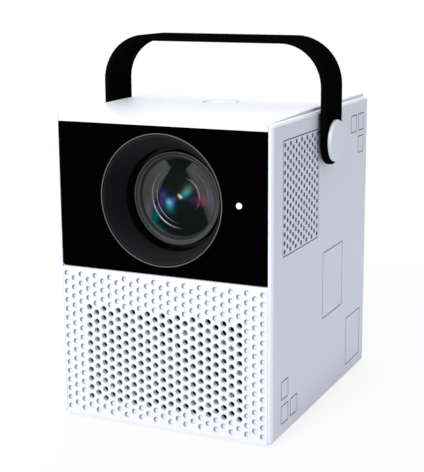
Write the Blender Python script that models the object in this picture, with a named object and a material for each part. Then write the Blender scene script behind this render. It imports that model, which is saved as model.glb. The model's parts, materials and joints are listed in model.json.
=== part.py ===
"""Compact video projector with a carrying bail, built as separate pieces.

Metres, +Z up, +X right and -Y towards the viewer of the front. The origin is on the
ground, under the middle of the body.
"""

import math

import bmesh
import bpy
from mathutils import Matrix, Vector
from mathutils.geometry import delaunay_2d_cdt

# Shared clearances and tolerances
GAP = 0.0003
OVERRUN = 0.001
WELD = 0.000001
MATCH = 0.000000001
SMOOTH_ANGLE = math.radians(35)

# Rounding of a moulded edge, as shares of its size: inset and depth
EDGE_SHARES = ((1.0, 0.0), (0.3, 0.3), (0.0, 1.0))

# Body
BODY_WIDTH = 0.1132
BODY_DEPTH = 0.1368
PANEL_THICKNESS = 0.0023
PANEL_EDGE = 0.0013
PANEL_CORNER = 0.0005
LIP_HEIGHT = 0.0032
LIP_STEP = 0.0005
CROWN_RISE = 0.0015
CROWN_RUN = 0.0420
COVER_THICKNESS = 0.0026
COVER_EDGE = 0.0016
APRON_THICKNESS = 0.0025
BASE_THICKNESS = 0.0025
REAR_THICKNESS = 0.0026
SHELF_THICKNESS = 0.0025
SHELF_RISE = 0.0012
FOOT_HEIGHT = 0.0012
FOOT_RADIUS = 0.0055
FOOT_INSET = 0.0120
FOOT_CHAMFER = 0.0003

# Front window and grille
WINDOW_TOP_MARGIN = 0.0028
WINDOW_LOW_MARGIN = 0.0036
WINDOW_THICKNESS = 0.0020
WINDOW_EDGE = 0.0003
WINDOW_CORNER = 0.0010
GRILLE_HEIGHT = 0.0761
GRILLE_THICKNESS = 0.0026
GRILLE_EDGE = 0.0013
GRILLE_SIDE_EDGE = 0.0002
GRILLE_HOLE = 0.00140
GRILLE_COLUMN_PITCH = 0.0040
GRILLE_ROW_PITCH = 0.00458
GRILLE_MARGIN = 0.0005
GRILLE_TOP_MARGIN = 0.0024
DIMPLE_DEPTH = 0.0011
SPEAKER_WINDOW_WIDTH = 0.0820
SPEAKER_WINDOW_HEIGHT = 0.0480
SPEAKER_WINDOW_LOW = 0.0092
STATUS_RADIUS = 0.0016
STATUS_SHARE = 0.3636
STATUS_RISE = 0.0007

# Side vents and engraved ornament
VENT_FRONT = 0.0122
VENT_TOP = 0.0082
VENT_PIVOT_SPACE = 0.0086
VENT_SHELF_SPACE = 0.0073
VENT_MARGIN = 0.0011
VENT_HOLE = 0.00110
VENT_COLUMN_PITCH = 0.003575
VENT_ROW_PITCH = 0.004133
LOUVRE_HEIGHT = 0.0020
LOUVRE_PITCH = 0.0068
GROOVE_WIDTH = 0.0004
GROOVE_DEPTH = 0.0004
SQUARE_SIDE = 0.0093
SQUARE_SPACING = 0.0027
FRONT_SQUARE_SHARES = (0.115, 0.0725)
BACK_SQUARE_SHARES = (0.9155, 0.9175)
FRAME_SHARES = (((0.491, 0.287), (0.713, 0.519)), ((0.770, 0.043), (0.943, 0.221)))

# Carrying bail and its pivots
PIVOT_DROP = 0.0151
STRAP_THICKNESS = 0.0031
STRAP_WIDTH = 0.0237
STRAP_CLEARANCE = 0.0014
STRAP_RISE = 0.0352
STRAP_CORNER = 0.0240
STRAP_EDGE = 0.0006
CAP_RADIUS = 0.0103
CAP_THICKNESS = 0.0019
CAP_EDGE = 0.0005
PIN_RADIUS = 0.0030
PIN_HEAD_RADIUS = 0.0052
PIN_HEAD_HEIGHT = 0.0008
BUSH_WALL = 0.0016
BUSH_FLANGE_RADIUS = 0.0080
BUSH_LENGTH = 0.0050
NUT_RADIUS = 0.0055
NUT_THICKNESS = 0.0030

# Power button in the top cover
BUTTON_RADIUS = 0.0085
BUTTON_FLANGE = 0.0010
BUTTON_FLANGE_HEIGHT = 0.0010
BUTTON_EDGE = 0.0004
BUTTON_TRAVEL = 0.0008
BUTTON_STEM_RADIUS = 0.0020
BUTTON_STEM_LENGTH = 0.0020
HOUSING_WALL = 0.0014
SWITCH_SIDE = 0.0060
SWITCH_HEIGHT = 0.0034

# Lens: distances behind the front plane and radii
OPENING_RADIUS = 0.0320
LENS_DROP = 0.0018
RING_WIDTH = 0.0006
THROAT_CLEARANCE = 0.0029
FUNNEL_LENGTH = 0.0130
FUNNEL_WALL = 0.0014
FUNNEL_FLANGE = 0.0028
LENS_RECESS = 0.0166
RETAINER_LENGTH = 0.0024
RETAINER_FACE = 0.0007
RETAINER_WIDTH = 0.0031
BARREL_INSET = 0.0093
BARREL_LENGTH = 0.0352
BARREL_WALL = 0.0021
SEAT_WIDTH = 0.0021
GUIDE_INSET = 0.0020
GUIDE_WALL = 0.0030
GUIDE_FLANGE_SPACE = 0.0009
GUIDE_FLANGE_THICKNESS = 0.0020
FRONT_LENS_EDGE = 0.0012
FRONT_LENS_CURVE_SHARE = 3.15
INNER_RING_LENGTH = 0.0026
INNER_RING_WIDTH = 0.0013
INNER_LENS_INSET = 0.0044
INNER_LENS_EDGE = 0.0020
INNER_LENS_CURVE_SHARE = 2.3
INNER_STOP_WIDTH = 0.0015
INNER_SEAT_LENGTH = 0.0028
REAR_LENS_INSET = 0.0060
REAR_LENS_EDGE = 0.0030
REAR_LENS_CURVE_SHARE = 3.0
MOUNT_THICKNESS = 0.0030
MOUNT_MARGIN = 0.0030
FOCUS_TRAVEL = 0.0025

# Focus drive
GEAR_MODULE = 0.0010
GEAR_TEETH = 10
GEAR_BACKLASH = 0.0005
GEAR_WIDTH = 0.0080
TIP_SHARE = 1.0
ROOT_SHARE = 1.25
PRESSURE_ANGLE = math.radians(20)
RACK_LENGTH = 0.0130
RACK_BACK = 0.0016
RACK_HEIGHT = 0.0080
RACK_INSET = 0.0004
RACK_CLEARANCE = 0.0016
MOTOR_RADIUS = 0.0065
MOTOR_DROP = 0.0050
MOTOR_SOCKET = 0.0040
SHAFT_RADIUS = 0.0013

# Light engine
ENGINE_SPACE = 0.0040
ENGINE_SIDE_SPACE = 0.0100
ENGINE_REAR_SPACE = 0.0087
PLATE_SPACING_SHARE = 0.1085
EMITTER_SPACE_SHARE = 0.3254
FRESNEL_THICKNESS = 0.0020
PANEL_GLASS_THICKNESS = 0.0024
COLLIMATOR_THICKNESS = 0.0030
COLLIMATOR_MARGIN = 0.0025
COLLIMATOR_CURVE_SHARE = 2.15
SINK_BASE = 0.0040
SINK_FIN_THICKNESS = 0.0020
SINK_FIN_PITCH = 0.0075
LED_BOARD_MARGIN = 0.0035
LED_BOARD_THICKNESS = 0.0016
LED_RADIUS = 0.0060
LED_HEIGHT = 0.0030
CRADLE_FLOOR = 0.0062
CRADLE_STEP = 0.0005
CRADLE_SLOT_INSET = 0.0030
CRADLE_SLOT_WALL = 0.0022
CRADLE_END = 0.0030
COVER_WALL = 0.0017

# Cooling fan
FAN_OVERLAP = 0.0024
FAN_MARGIN = 0.0044
FAN_THICKNESS = 0.0100
FAN_WALL = 0.0015
FAN_ARMS = 4
FAN_PLATE = 0.0015
FAN_HUB = 0.0105
FAN_HUB_HEIGHT = 0.0008
FAN_ARM_ANGLE = math.radians(14)
FAN_TIP_CLEARANCE = 0.0012
ROTOR_HEIGHT = 0.0066
ROTOR_BLADES = 7
BLADE_THICKNESS = 0.0010
BLADE_HEIGHT = 0.0056
BLADE_TWIST = math.radians(16)
BLADE_ROOT = 0.0010

# Speakers
SPEAKER_SPACING = 0.0008
SPEAKER_RADIUS = 0.0199
SPEAKER_RIM_WIDTH = 0.0021
SPEAKER_RIM_THICKNESS = 0.0016
SPEAKER_DEPTH = 0.0106
SPEAKER_BACK_RADIUS = 0.0100
SPEAKER_WALL = 0.0012
MAGNET_RADIUS = 0.0125
MAGNET_THICKNESS = 0.0075
CONE_THICKNESS = 0.0008
DUST_CAP_RADIUS = 0.0055
DUST_CAP_RISE = 0.0014

# Circuit boards and sockets
BOARD_THICKNESS = 0.0016
BOSS_HEIGHT = 0.0040
BOSS_RADIUS = 0.0028
BOSS_INSET = 0.0050
BOARD_LENGTH = 0.0800
BOARD_SIDE_MARGIN = 0.0020
BOARD_MIDDLE = 0.0020
SOCKET_WALL = 0.0008
HDMI_OPENING = (0.0140, 0.0047)
USB_OPENING = (0.0125, 0.0051)
PORT_BORE = 0.0018
PORT_BODY = 0.0070
PORT_DEPTH = 0.0090
PORT_BACK = 0.0020
INLET_OPENING = (0.0168, 0.0084)
INLET_PIN_OFFSET = 0.0043
INLET_PIN_RADIUS = 0.0012
INLET_WALL = 0.0012
TRANSFORMER_SIZE = (0.0260, 0.0240, 0.0170)
TRANSFORMER_EDGE = 0.0015
REAR_SLOT_WIDTH = 0.0020
REAR_SLOT_PITCH = 0.0064
REAR_SLOT_HEIGHT = 0.0420
REAR_VENT_MARGIN = 0.0150
REAR_VENT_LOW = 0.0880

# Sides of the turned pieces and holes
ROUND_LARGE = 24
ROUND_MEDIUM = 16
ROUND_SMALL = 10
ROUND_TINY = 6
ROUND_NUT = 6
STRAP_END_STEPS = 10
HOLE_SIDES = 4
CORNER_STEPS = 2
BEND_STEPS = 6
FRONT_DOME_STEPS = 4
DOME_STEPS = 3
FAN_SECTOR_STEPS = 3
CROWN_SHARES = (0.33, 0.67, 1.0)

# Places and sizes that follow from the ones above
FRONT = -BODY_DEPTH / 2
BACK = BODY_DEPTH / 2
BASE_Z = FOOT_HEIGHT + GAP
HALF_WIDTH = BODY_WIDTH / 2
CORE_HALF = HALF_WIDTH - PANEL_THICKNESS - GAP
GRILLE_TOP = BASE_Z + GRILLE_HEIGHT
WINDOW_BOTTOM = GRILLE_TOP + GAP
OPENING_Z = WINDOW_BOTTOM + WINDOW_LOW_MARGIN + OPENING_RADIUS
LENS_Z = OPENING_Z - LENS_DROP
WINDOW_TOP = OPENING_Z + OPENING_RADIUS + WINDOW_TOP_MARGIN
TOP_Z = WINDOW_TOP + LIP_HEIGHT
PANEL_HEIGHT = TOP_Z - BASE_Z
PIVOT_Z = TOP_Z - PIVOT_DROP
COVER_TOP = TOP_Z + CROWN_RISE
SHELF_Z = WINDOW_BOTTOM + SHELF_RISE
SHELF_TOP = SHELF_Z + SHELF_THICKNESS
REAR_INNER = BACK - REAR_THICKNESS - GAP
VENT_WIDTH = BODY_DEPTH / 2 - VENT_FRONT - VENT_PIVOT_SPACE
VENT_LOW = SHELF_TOP + VENT_SHELF_SPACE
VENT_HEIGHT = TOP_Z - VENT_TOP - VENT_LOW
STATUS_OFFSET = OPENING_RADIUS + (CORE_HALF - OPENING_RADIUS) * STATUS_SHARE
BARREL_RADIUS = OPENING_RADIUS - BARREL_INSET
BARREL_BORE = BARREL_RADIUS - BARREL_WALL
SEAT_BORE = BARREL_BORE - SEAT_WIDTH
SEAT_LENGTH = FRONT_LENS_EDGE + GAP
INNER_LENS_RADIUS = SEAT_BORE - INNER_LENS_INSET
INNER_RING_BORE = INNER_LENS_RADIUS - INNER_RING_WIDTH
REAR_LENS_RADIUS = BARREL_RADIUS - REAR_LENS_INSET
RETAINER_BORE = BARREL_RADIUS - RETAINER_WIDTH
FUNNEL_THROAT = BARREL_RADIUS + THROAT_CLEARANCE
BARREL_START = LENS_RECESS + RETAINER_LENGTH + GAP
BARREL_END = BARREL_START + BARREL_LENGTH
GUIDE_RECESS = BARREL_START + GUIDE_INSET
GUIDE_END = BARREL_END - RACK_INSET - RACK_LENGTH - FOCUS_TRAVEL - RACK_CLEARANCE
GUIDE_RADIUS = BARREL_RADIUS + GAP + GUIDE_WALL
GUIDE_FLANGE = LENS_Z - SHELF_TOP - GUIDE_FLANGE_SPACE
MOUNT_RECESS = GUIDE_END - GUIDE_FLANGE_THICKNESS - GAP - MOUNT_THICKNESS
ENGINE_RECESS = BARREL_END + FOCUS_TRAVEL + ENGINE_SPACE
PLATE_HALF_WIDTH = CORE_HALF - FAN_THICKNESS - ENGINE_SIDE_SPACE
PLATE_HALF_HEIGHT = LENS_Z - SHELF_TOP - GAP - CRADLE_FLOOR - GAP
COLLIMATOR_RADIUS = PLATE_HALF_HEIGHT - COLLIMATOR_MARGIN
COLLIMATOR_CURVE = COLLIMATOR_RADIUS * COLLIMATOR_CURVE_SHARE
FAN_SIDE = min(VENT_WIDTH + FAN_OVERLAP, VENT_HEIGHT - FAN_MARGIN)
FAN_BORE = FAN_SIDE / 2 - FAN_WALL
SPEAKER_OFFSET = SPEAKER_RADIUS + SPEAKER_SPACING / 2
BOARD_Z = BASE_Z + BASE_THICKNESS + BOSS_HEIGHT + GAP
BOARD_TOP = BOARD_Z + BOARD_THICKNESS


class Finish:
    """Colour, roughness and metallic value of one material."""

    def __init__(self, name, colour, roughness, metallic=0.0, alpha=1.0):
        self.name = name
        self.colour = colour
        self.roughness = roughness
        self.metallic = metallic
        self.alpha = alpha

    def material(self):
        """The Principled material, made once and then shared."""
        found = bpy.data.materials.get(self.name)
        if found:
            return found
        made = bpy.data.materials.new(self.name)
        made.use_nodes = True
        shader = made.node_tree.nodes["Principled BSDF"]
        shader.inputs["Base Color"].default_value = (*self.colour, 1.0)
        shader.inputs["Roughness"].default_value = self.roughness
        shader.inputs["Metallic"].default_value = self.metallic
        shader.inputs["Alpha"].default_value = self.alpha
        made.diffuse_color = (*self.colour, 1.0)
        return made


WHITE_SHELL = Finish("white_shell", (0.86, 0.87, 0.90), 0.35)
PALE_PANEL = Finish("pale_panel", (0.66, 0.68, 0.74), 0.38)
BLACK_GLOSS = Finish("black_gloss", (0.006, 0.006, 0.007), 0.05)
BLACK_STRAP = Finish("black_strap", (0.010, 0.010, 0.011), 0.55)
DARK_PLASTIC = Finish("dark_plastic", (0.030, 0.030, 0.032), 0.45)
GREY_PLASTIC = Finish("grey_plastic", (0.22, 0.23, 0.24), 0.50)
SILVER_TRIM = Finish("silver_trim", (0.45, 0.46, 0.46), 0.25, 1.0)
LENS_GLASS = Finish("lens_glass", (0.55, 0.66, 0.68), 0.03)
STATUS_WHITE = Finish("status_white", (0.95, 0.95, 0.95), 0.20)
STEEL = Finish("steel", (0.55, 0.56, 0.58), 0.30, 1.0)
ALUMINIUM = Finish("aluminium", (0.72, 0.73, 0.75), 0.35, 1.0)
BRASS = Finish("brass", (0.72, 0.55, 0.25), 0.30, 1.0)
RUBBER = Finish("rubber", (0.020, 0.020, 0.020), 0.80)
BOARD_GREEN = Finish("board_green", (0.02, 0.16, 0.06), 0.45)
ACETAL = Finish("acetal", (0.80, 0.79, 0.74), 0.40)
PAPER_CONE = Finish("paper_cone", (0.05, 0.05, 0.055), 0.75)
AMBER_TAPE = Finish("amber_tape", (0.65, 0.42, 0.08), 0.45)


def clear_scene():
    """Take every object out of the scene."""
    for found in list(bpy.data.objects):
        bpy.data.objects.remove(found, do_unlink=True)


def finish_solid(name, mesh_data, finish):
    """Turn a closed bmesh into a named object with its material."""
    bmesh.ops.remove_doubles(mesh_data, verts=mesh_data.verts, dist=WELD)
    bmesh.ops.recalc_face_normals(mesh_data, faces=mesh_data.faces)
    mesh = bpy.data.meshes.new(name)
    mesh_data.to_mesh(mesh)
    mesh_data.free()
    mesh.materials.append(finish.material())
    mesh.shade_smooth()
    mesh.set_sharp_from_angle(angle=SMOOTH_ANGLE)
    made = bpy.data.objects.new(name, mesh)
    bpy.context.collection.objects.link(made)
    return made


def circumscribed(radius, sides):
    """Corner radius of a regular outline whose flats clear a circle of this radius."""
    return radius / math.cos(math.pi / sides)


def inscribed(radius, sides):
    """Largest radius that stays inside a regular outline with this corner radius."""
    return radius * math.cos(math.pi / sides)


def circle(centre_u, centre_v, radius, sides, turn=0.0):
    """Points of a regular outline round a centre."""
    points = []
    for index in range(sides):
        angle = turn + math.tau * index / sides
        points.append((centre_u + radius * math.cos(angle), centre_v + radius * math.sin(angle)))
    return points


def rectangle(low_u, low_v, high_u, high_v):
    """Corner points of a rectangle."""
    return [(low_u, low_v), (high_u, low_v), (high_u, high_v), (low_u, high_v)]


def rounded_rectangle(low_u, low_v, high_u, high_v, radius, steps=CORNER_STEPS):
    """Points of a rectangle with round corners, anticlockwise."""
    corners = (
        (high_u - radius, low_v + radius, -math.pi / 2),
        (high_u - radius, high_v - radius, 0.0),
        (low_u + radius, high_v - radius, math.pi / 2),
        (low_u + radius, low_v + radius, math.pi),
    )
    points = []
    for centre_u, centre_v, start in corners:
        for step in range(steps + 1):
            angle = start + math.pi / 2 * step / steps
            points.append((centre_u + radius * math.cos(angle), centre_v + radius * math.sin(angle)))
    return points


def contains(loop, point):
    """Whether a point lies inside a loop of points."""
    inside = False
    u, v = point
    for index, (u1, v1) in enumerate(loop):
        u2, v2 = loop[index - 1]
        if (v1 > v) != (v2 > v) and u < (u2 - u1) * (v - v1) / (v2 - v1) + u1:
            inside = not inside
    return inside


def level_at(point, areas):
    """Depth of a face at a point: that of the last area that holds it, or zero."""
    level = 0.0
    for loop, depth in areas:
        if contains(loop, point):
            level = depth
    return level


def flat_face(mesh_data, rim_loop, areas, holes, height_of, place, cuts):
    """Fill one face of a plate: the rim's loop, its sunk areas and its holes.

    Returns the rim's corners and, for each hole, the corners of its edge.
    """
    loops = [rim_loop] + [loop for loop, _ in areas] + list(holes)
    coordinates = []
    faces = []
    for loop in loops:
        faces.append(list(range(len(coordinates), len(coordinates) + len(loop))))
        coordinates += [Vector(point) for point in loop]
    filled = delaunay_2d_cdt(coordinates, list(cuts), faces, 1, MATCH)
    points, _, triangles, originals, _, owners = filled
    index_of = {}
    for new_index, old_indexes in enumerate(originals):
        for old_index in old_indexes:
            index_of[old_index] = new_index
    first_hole = 1 + len(areas)
    corners = {}

    def corner(point_index, level):
        key = (point_index, round(level / WELD))
        if key not in corners:
            u, v = points[point_index]
            corners[key] = mesh_data.verts.new(place(u, v, height_of(level)))
        return corners[key]

    for triangle, owner in zip(triangles, owners, strict=True):
        if not owner or max(owner) >= first_hole:
            continue
        innermost = max(owner)
        level = areas[innermost - 1][1] if innermost else 0.0
        mesh_data.faces.new([corner(index, level) for index in triangle])

    for number, (loop, depth) in enumerate(areas):
        outer = level_at(loop[0], areas[:number])
        start = faces[1 + number]
        for index, following in zip(start, start[1:] + start[:1], strict=True):
            first, second = index_of[index], index_of[following]
            wall = (corner(first, outer), corner(second, outer), corner(second, depth), corner(first, depth))
            mesh_data.faces.new(wall)

    edges = []
    for number, loop in enumerate(holes):
        level = level_at(loop[0], areas)
        edges.append([corner(index_of[index], level) for index in faces[first_hole + number]])
    return [corner(index_of[index], 0.0) for index in faces[0]], edges


def bridge(mesh_data, first, second):
    """Join two loops of the same number of corners by a wall."""
    for index in range(len(first)):
        mesh_data.faces.new((first[index - 1], first[index], second[index], second[index - 1]))


def plate_mesh(outline, rim, place, fronts=(), backs=(), holes=(), cuts=()):
    """Mesh of a flat part: a stepped rim, sunk or raised areas and through holes.

    outline(inset) gives the rim's points. rim lists (inset, depth) from the front face
    to the back one. fronts and backs list (loop, depth), outer areas first, and a
    negative depth stands proud. place(u, v, depth) puts a point in space.
    """
    mesh_data = bmesh.new()
    start_inset, start = rim[0]
    end_inset, end = rim[-1]
    front_rim, front_edges = flat_face(
        mesh_data, outline(start_inset), fronts, holes, lambda level: start + level, place, cuts
    )
    back_rim, back_edges = flat_face(
        mesh_data, outline(end_inset), backs, holes, lambda level: end - level, place, cuts
    )
    previous = front_rim
    for inset, depth in rim[1:-1]:
        current = [mesh_data.verts.new(place(u, v, depth)) for u, v in outline(inset)]
        bridge(mesh_data, previous, current)
        previous = current
    bridge(mesh_data, previous, back_rim)
    for front_edge, back_edge in zip(front_edges, back_edges, strict=True):
        bridge(mesh_data, front_edge, back_edge)
    return mesh_data


def plate(name, finish, outline, rim, place, **features):
    """A flat part as a named object."""
    return finish_solid(name, plate_mesh(outline, rim, place, **features), finish)


def soft_rim(edge, thickness):
    """Rim of a plate whose front edge is rounded."""
    return [(edge * inset, edge * depth) for inset, depth in EDGE_SHARES] + [(0.0, thickness)]


def facing_front(distance):
    """Place for plates seen from the front: depth runs to the back."""
    return lambda u, v, depth: (u, FRONT + distance + depth, v)


def facing_back(u, v, depth):
    """Place for plates seen from the back: depth runs to the front."""
    return (u, BACK - depth, v)


def facing_side(side):
    """Place for plates seen from one side: depth runs to the middle."""
    return lambda u, v, depth: (side * (HALF_WIDTH - depth), u, v)


def facing_up(height):
    """Place for plates seen from above: depth runs down."""
    return lambda u, v, depth: (u, v, height - depth)


def axis_frame(origin, axis):
    """Matrix that puts a part turned round local Z at its origin, along X, Y or Z."""
    turns = {
        "X": Matrix.Rotation(math.radians(90), 4, "Y"),
        "Y": Matrix.Rotation(math.radians(-90), 4, "X"),
        "Z": Matrix.Identity(4),
    }
    return Matrix.Translation(origin) @ turns[axis]


def turned_mesh(profile, origin, axis, sides):
    """Spin an outline of (radius, distance) points round an axis.

    A profile that starts on the axis stays open there, and any other one is closed.
    """
    mesh_data = bmesh.new()
    corners = [mesh_data.verts.new((radius, 0.0, distance)) for radius, distance in profile]
    edges = [mesh_data.edges.new(pair) for pair in zip(corners, corners[1:], strict=False)]
    if profile[0][0] > 0.0:
        edges.append(mesh_data.edges.new((corners[-1], corners[0])))
    bmesh.ops.spin(
        mesh_data,
        geom=corners + edges,
        cent=(0.0, 0.0, 0.0),
        axis=(0.0, 0.0, 1.0),
        angle=math.tau,
        steps=sides,
        use_merge=True,
    )
    bmesh.ops.remove_doubles(mesh_data, verts=mesh_data.verts, dist=WELD)
    bmesh.ops.transform(mesh_data, matrix=axis_frame(origin, axis), verts=mesh_data.verts)
    return mesh_data


def turned(name, finish, profile, origin, axis, sides):
    """A turned part as a named object."""
    return finish_solid(name, turned_mesh(profile, origin, axis, sides), finish)


def block_mesh(low, high):
    """Mesh of a plain box between two corners."""
    mesh_data = bmesh.new()
    size = [top - bottom for bottom, top in zip(low, high, strict=True)]
    middle = [(top + bottom) / 2 for bottom, top in zip(low, high, strict=True)]
    matrix = Matrix.Translation(middle) @ Matrix.Diagonal((*size, 1.0))
    bmesh.ops.create_cube(mesh_data, size=1.0, matrix=matrix)
    return mesh_data


def block(name, finish, low, high, edge=0.0):
    """A box as a named object, with its edges bevelled where a width is given."""
    made = finish_solid(name, block_mesh(low, high), finish)
    if edge:
        bevel = made.modifiers.new("edges", "BEVEL")
        bevel.width = edge
        bevel.segments = 1
    return made


def extruded_mesh(profile, start, end, place):
    """Mesh of an outline in (u, v) that runs from one distance to another."""
    mesh_data = bmesh.new()
    first = [mesh_data.verts.new(place(u, v, start)) for u, v in profile]
    second = [mesh_data.verts.new(place(u, v, end)) for u, v in profile]
    mesh_data.faces.new(first)
    mesh_data.faces.new(list(reversed(second)))
    bridge(mesh_data, first, second)
    return mesh_data


def along_x(u, v, distance):
    """Place for outlines drawn in depth and height, and extruded sideways."""
    return (distance, u, v)


def along_y(u, v, distance):
    """Place for outlines drawn in width and height, and extruded to the back."""
    return (u, distance, v)


def along_z(u, v, distance):
    """Place for outlines drawn on the ground, and extruded upwards."""
    return (u, v, distance)


def boolean(target, tool, operation):
    """Cut a tool from an object, or join it on, and keep the tool out of the part."""
    modifier = target.modifiers.new(tool.name, "BOOLEAN")
    modifier.operation = operation
    modifier.solver = "EXACT"
    modifier.object = tool
    tool.hide_render = True
    tool.display_type = "WIRE"
    return target


def carried_by(pivot_name, location, pieces):
    """Hang moving pieces on an empty that stands on their joint's axis."""
    pivot = bpy.data.objects.new(pivot_name, None)
    pivot.location = location
    bpy.context.collection.objects.link(pivot)
    for piece in pieces:
        piece.parent = pivot
        piece.matrix_parent_inverse = Matrix.Translation(location).inverted()
    return pivot


def dome(radius, curve, edge_distance, steps, direction):
    """Profile points of a spherical cap, from its tip on the axis to its edge."""
    sag = curve - math.sqrt(curve * curve - radius * radius)
    points = []
    for step in range(steps):
        part = radius * step / steps
        drop = curve - math.sqrt(curve * curve - part * part)
        points.append((part, edge_distance + direction * (sag - drop)))
    return points


def panel_outline(inset):
    """Outline of a side panel in depth and height."""
    radius = PANEL_EDGE + PANEL_CORNER - inset
    return rounded_rectangle(FRONT + inset, BASE_Z + inset, BACK - inset, TOP_Z - inset, radius)


def staggered_grid(centre, columns, rows, column_pitch, row_pitch):
    """Centres of holes in columns, where every second column stands half a step lower."""
    centre_u, centre_v = centre
    places = []
    for column in range(columns):
        u = centre_u + (column - (columns - 1) / 2) * column_pitch
        short = column % 2
        for row in range(rows - short):
            places.append((u, centre_v + (row - (rows - short - 1) / 2) * row_pitch))
    return places


def groove(low_u, low_v, high_u, high_v):
    """A thin engraved line round a rectangle, as two areas."""
    outer = rectangle(low_u, low_v, high_u, high_v)
    inner = rectangle(
        low_u + GROOVE_WIDTH, low_v + GROOVE_WIDTH, high_u - GROOVE_WIDTH, high_v - GROOVE_WIDTH
    )
    return [(outer, GROOVE_DEPTH), (inner, 0.0)]


def panel_point(shares):
    """A point of the side panel from its shares of depth and height."""
    return FRONT + shares[0] * BODY_DEPTH, BASE_Z + shares[1] * PANEL_HEIGHT


def ornament():
    """Engraved squares and frames of a side panel."""
    pitch = SQUARE_SIDE + SQUARE_SPACING
    front_u, front_v = panel_point(FRONT_SQUARE_SHARES)
    back_u, back_v = panel_point(BACK_SQUARE_SHARES)
    centres = (
        (front_u, front_v),
        (front_u, front_v + pitch),
        (front_u + pitch, front_v),
        (back_u, back_v),
        (back_u - pitch, back_v),
        (back_u, back_v - pitch),
    )
    half = SQUARE_SIDE / 2
    areas = []
    for u, v in centres:
        areas += groove(u - half, v - half, u + half, v + half)
    for low, high in FRAME_SHARES:
        areas += groove(*panel_point(low), *panel_point(high))
    return areas


def vent_frame():
    """Low and high corner of the vent field on a side panel."""
    low_u = FRONT + VENT_FRONT
    return low_u, VENT_LOW, low_u + VENT_WIDTH, VENT_LOW + VENT_HEIGHT


def vent_holes():
    """Perforations of the right side panel."""
    low_u, low_v, high_u, high_v = vent_frame()
    border = 2 * (VENT_MARGIN + VENT_HOLE)
    columns = int((VENT_WIDTH - border) / VENT_COLUMN_PITCH) + 1
    rows = int((VENT_HEIGHT - border) / VENT_ROW_PITCH) + 1
    middle = ((low_u + high_u) / 2, (low_v + high_v) / 2)
    centres = staggered_grid(middle, columns, rows, VENT_COLUMN_PITCH, VENT_ROW_PITCH)
    return [circle(u, v, VENT_HOLE, HOLE_SIDES, math.pi / HOLE_SIDES) for u, v in centres]


def vent_louvres():
    """Long slots of the left side panel."""
    low_u, low_v, high_u, high_v = vent_frame()
    border = VENT_MARGIN + VENT_HOLE
    count = int((VENT_HEIGHT - 2 * border - LOUVRE_HEIGHT) / LOUVRE_PITCH) + 1
    slots = []
    for index in range(count):
        middle = (low_v + high_v) / 2 + (index - (count - 1) / 2) * LOUVRE_PITCH
        half = LOUVRE_HEIGHT / 2
        slots.append(rectangle(low_u + border, middle - half, high_u - border, middle + half))
    return slots


def side_panel(name, side, openings):
    """One side panel with its vent, ornament and pivot hole."""
    bush = circumscribed(bush_radius() + GAP, ROUND_SMALL)
    pivot_hole = circle(0.0, PIVOT_Z, bush, ROUND_SMALL)
    return plate(
        name,
        PALE_PANEL,
        panel_outline,
        soft_rim(PANEL_EDGE, PANEL_THICKNESS),
        facing_side(side),
        fronts=groove(*vent_frame()) + ornament(),
        holes=openings + [pivot_hole],
    )


def grille_outline(inset):
    """Outline of the front grille, whose top edge is rounder than the rest."""
    side = inset * GRILLE_SIDE_EDGE / GRILLE_EDGE
    return rectangle(-CORE_HALF + side, BASE_Z + side, CORE_HALF - side, GRILLE_TOP - inset)


def grille_centres():
    """Centres of every hole and dimple of the front grille."""
    half_field = CORE_HALF - GRILLE_MARGIN - GRILLE_HOLE
    pairs = int(half_field / GRILLE_COLUMN_PITCH)
    columns = 2 * pairs + 1
    high = GRILLE_TOP - GRILLE_TOP_MARGIN - GRILLE_HOLE
    low = BASE_Z + GRILLE_MARGIN + GRILLE_HOLE
    rows = int((high - low) / GRILLE_ROW_PITCH) + 1
    middle = (0.0, high - (rows - 1) / 2 * GRILLE_ROW_PITCH)
    return staggered_grid(middle, columns, rows, GRILLE_COLUMN_PITCH, GRILLE_ROW_PITCH)


def sounding(centre):
    """Whether a hole of the grille goes through, in front of the speakers."""
    u, v = centre
    low = BASE_Z + SPEAKER_WINDOW_LOW
    return abs(u) < SPEAKER_WINDOW_WIDTH / 2 and low < v < low + SPEAKER_WINDOW_HEIGHT


def front_grille():
    """The white grille: open holes before the speakers and blind dimples round them."""
    centres = grille_centres()
    turn = math.pi / HOLE_SIDES
    holes = [circle(*point, GRILLE_HOLE, HOLE_SIDES, turn) for point in centres if sounding(point)]
    dimples = [circle(*point, GRILLE_HOLE, HOLE_SIDES, turn) for point in centres if not sounding(point)]
    mesh_data = plate_mesh(
        grille_outline,
        soft_rim(GRILLE_EDGE, GRILLE_THICKNESS),
        facing_front(0.0),
        fronts=[(loop, DIMPLE_DEPTH) for loop in dimples],
        holes=holes,
    )
    draw_dimples_to_points(mesh_data)
    return finish_solid("front_grille", mesh_data, WHITE_SHELL)


def draw_dimples_to_points(mesh_data):
    """Collapse the flat bottom of each dimple to one point, which makes it a cone."""
    bottom = FRONT + DIMPLE_DEPTH
    floors = [face for face in mesh_data.faces if all(abs(v.co.y - bottom) < WELD for v in face.verts)]
    floor_edges = {edge for face in floors for edge in face.edges}
    bmesh.ops.collapse(mesh_data, edges=list(floor_edges), uvs=False)


def lens_mouth():
    """Corner radius of the round opening in the front window."""
    return circumscribed(OPENING_RADIUS, ROUND_LARGE)


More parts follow.
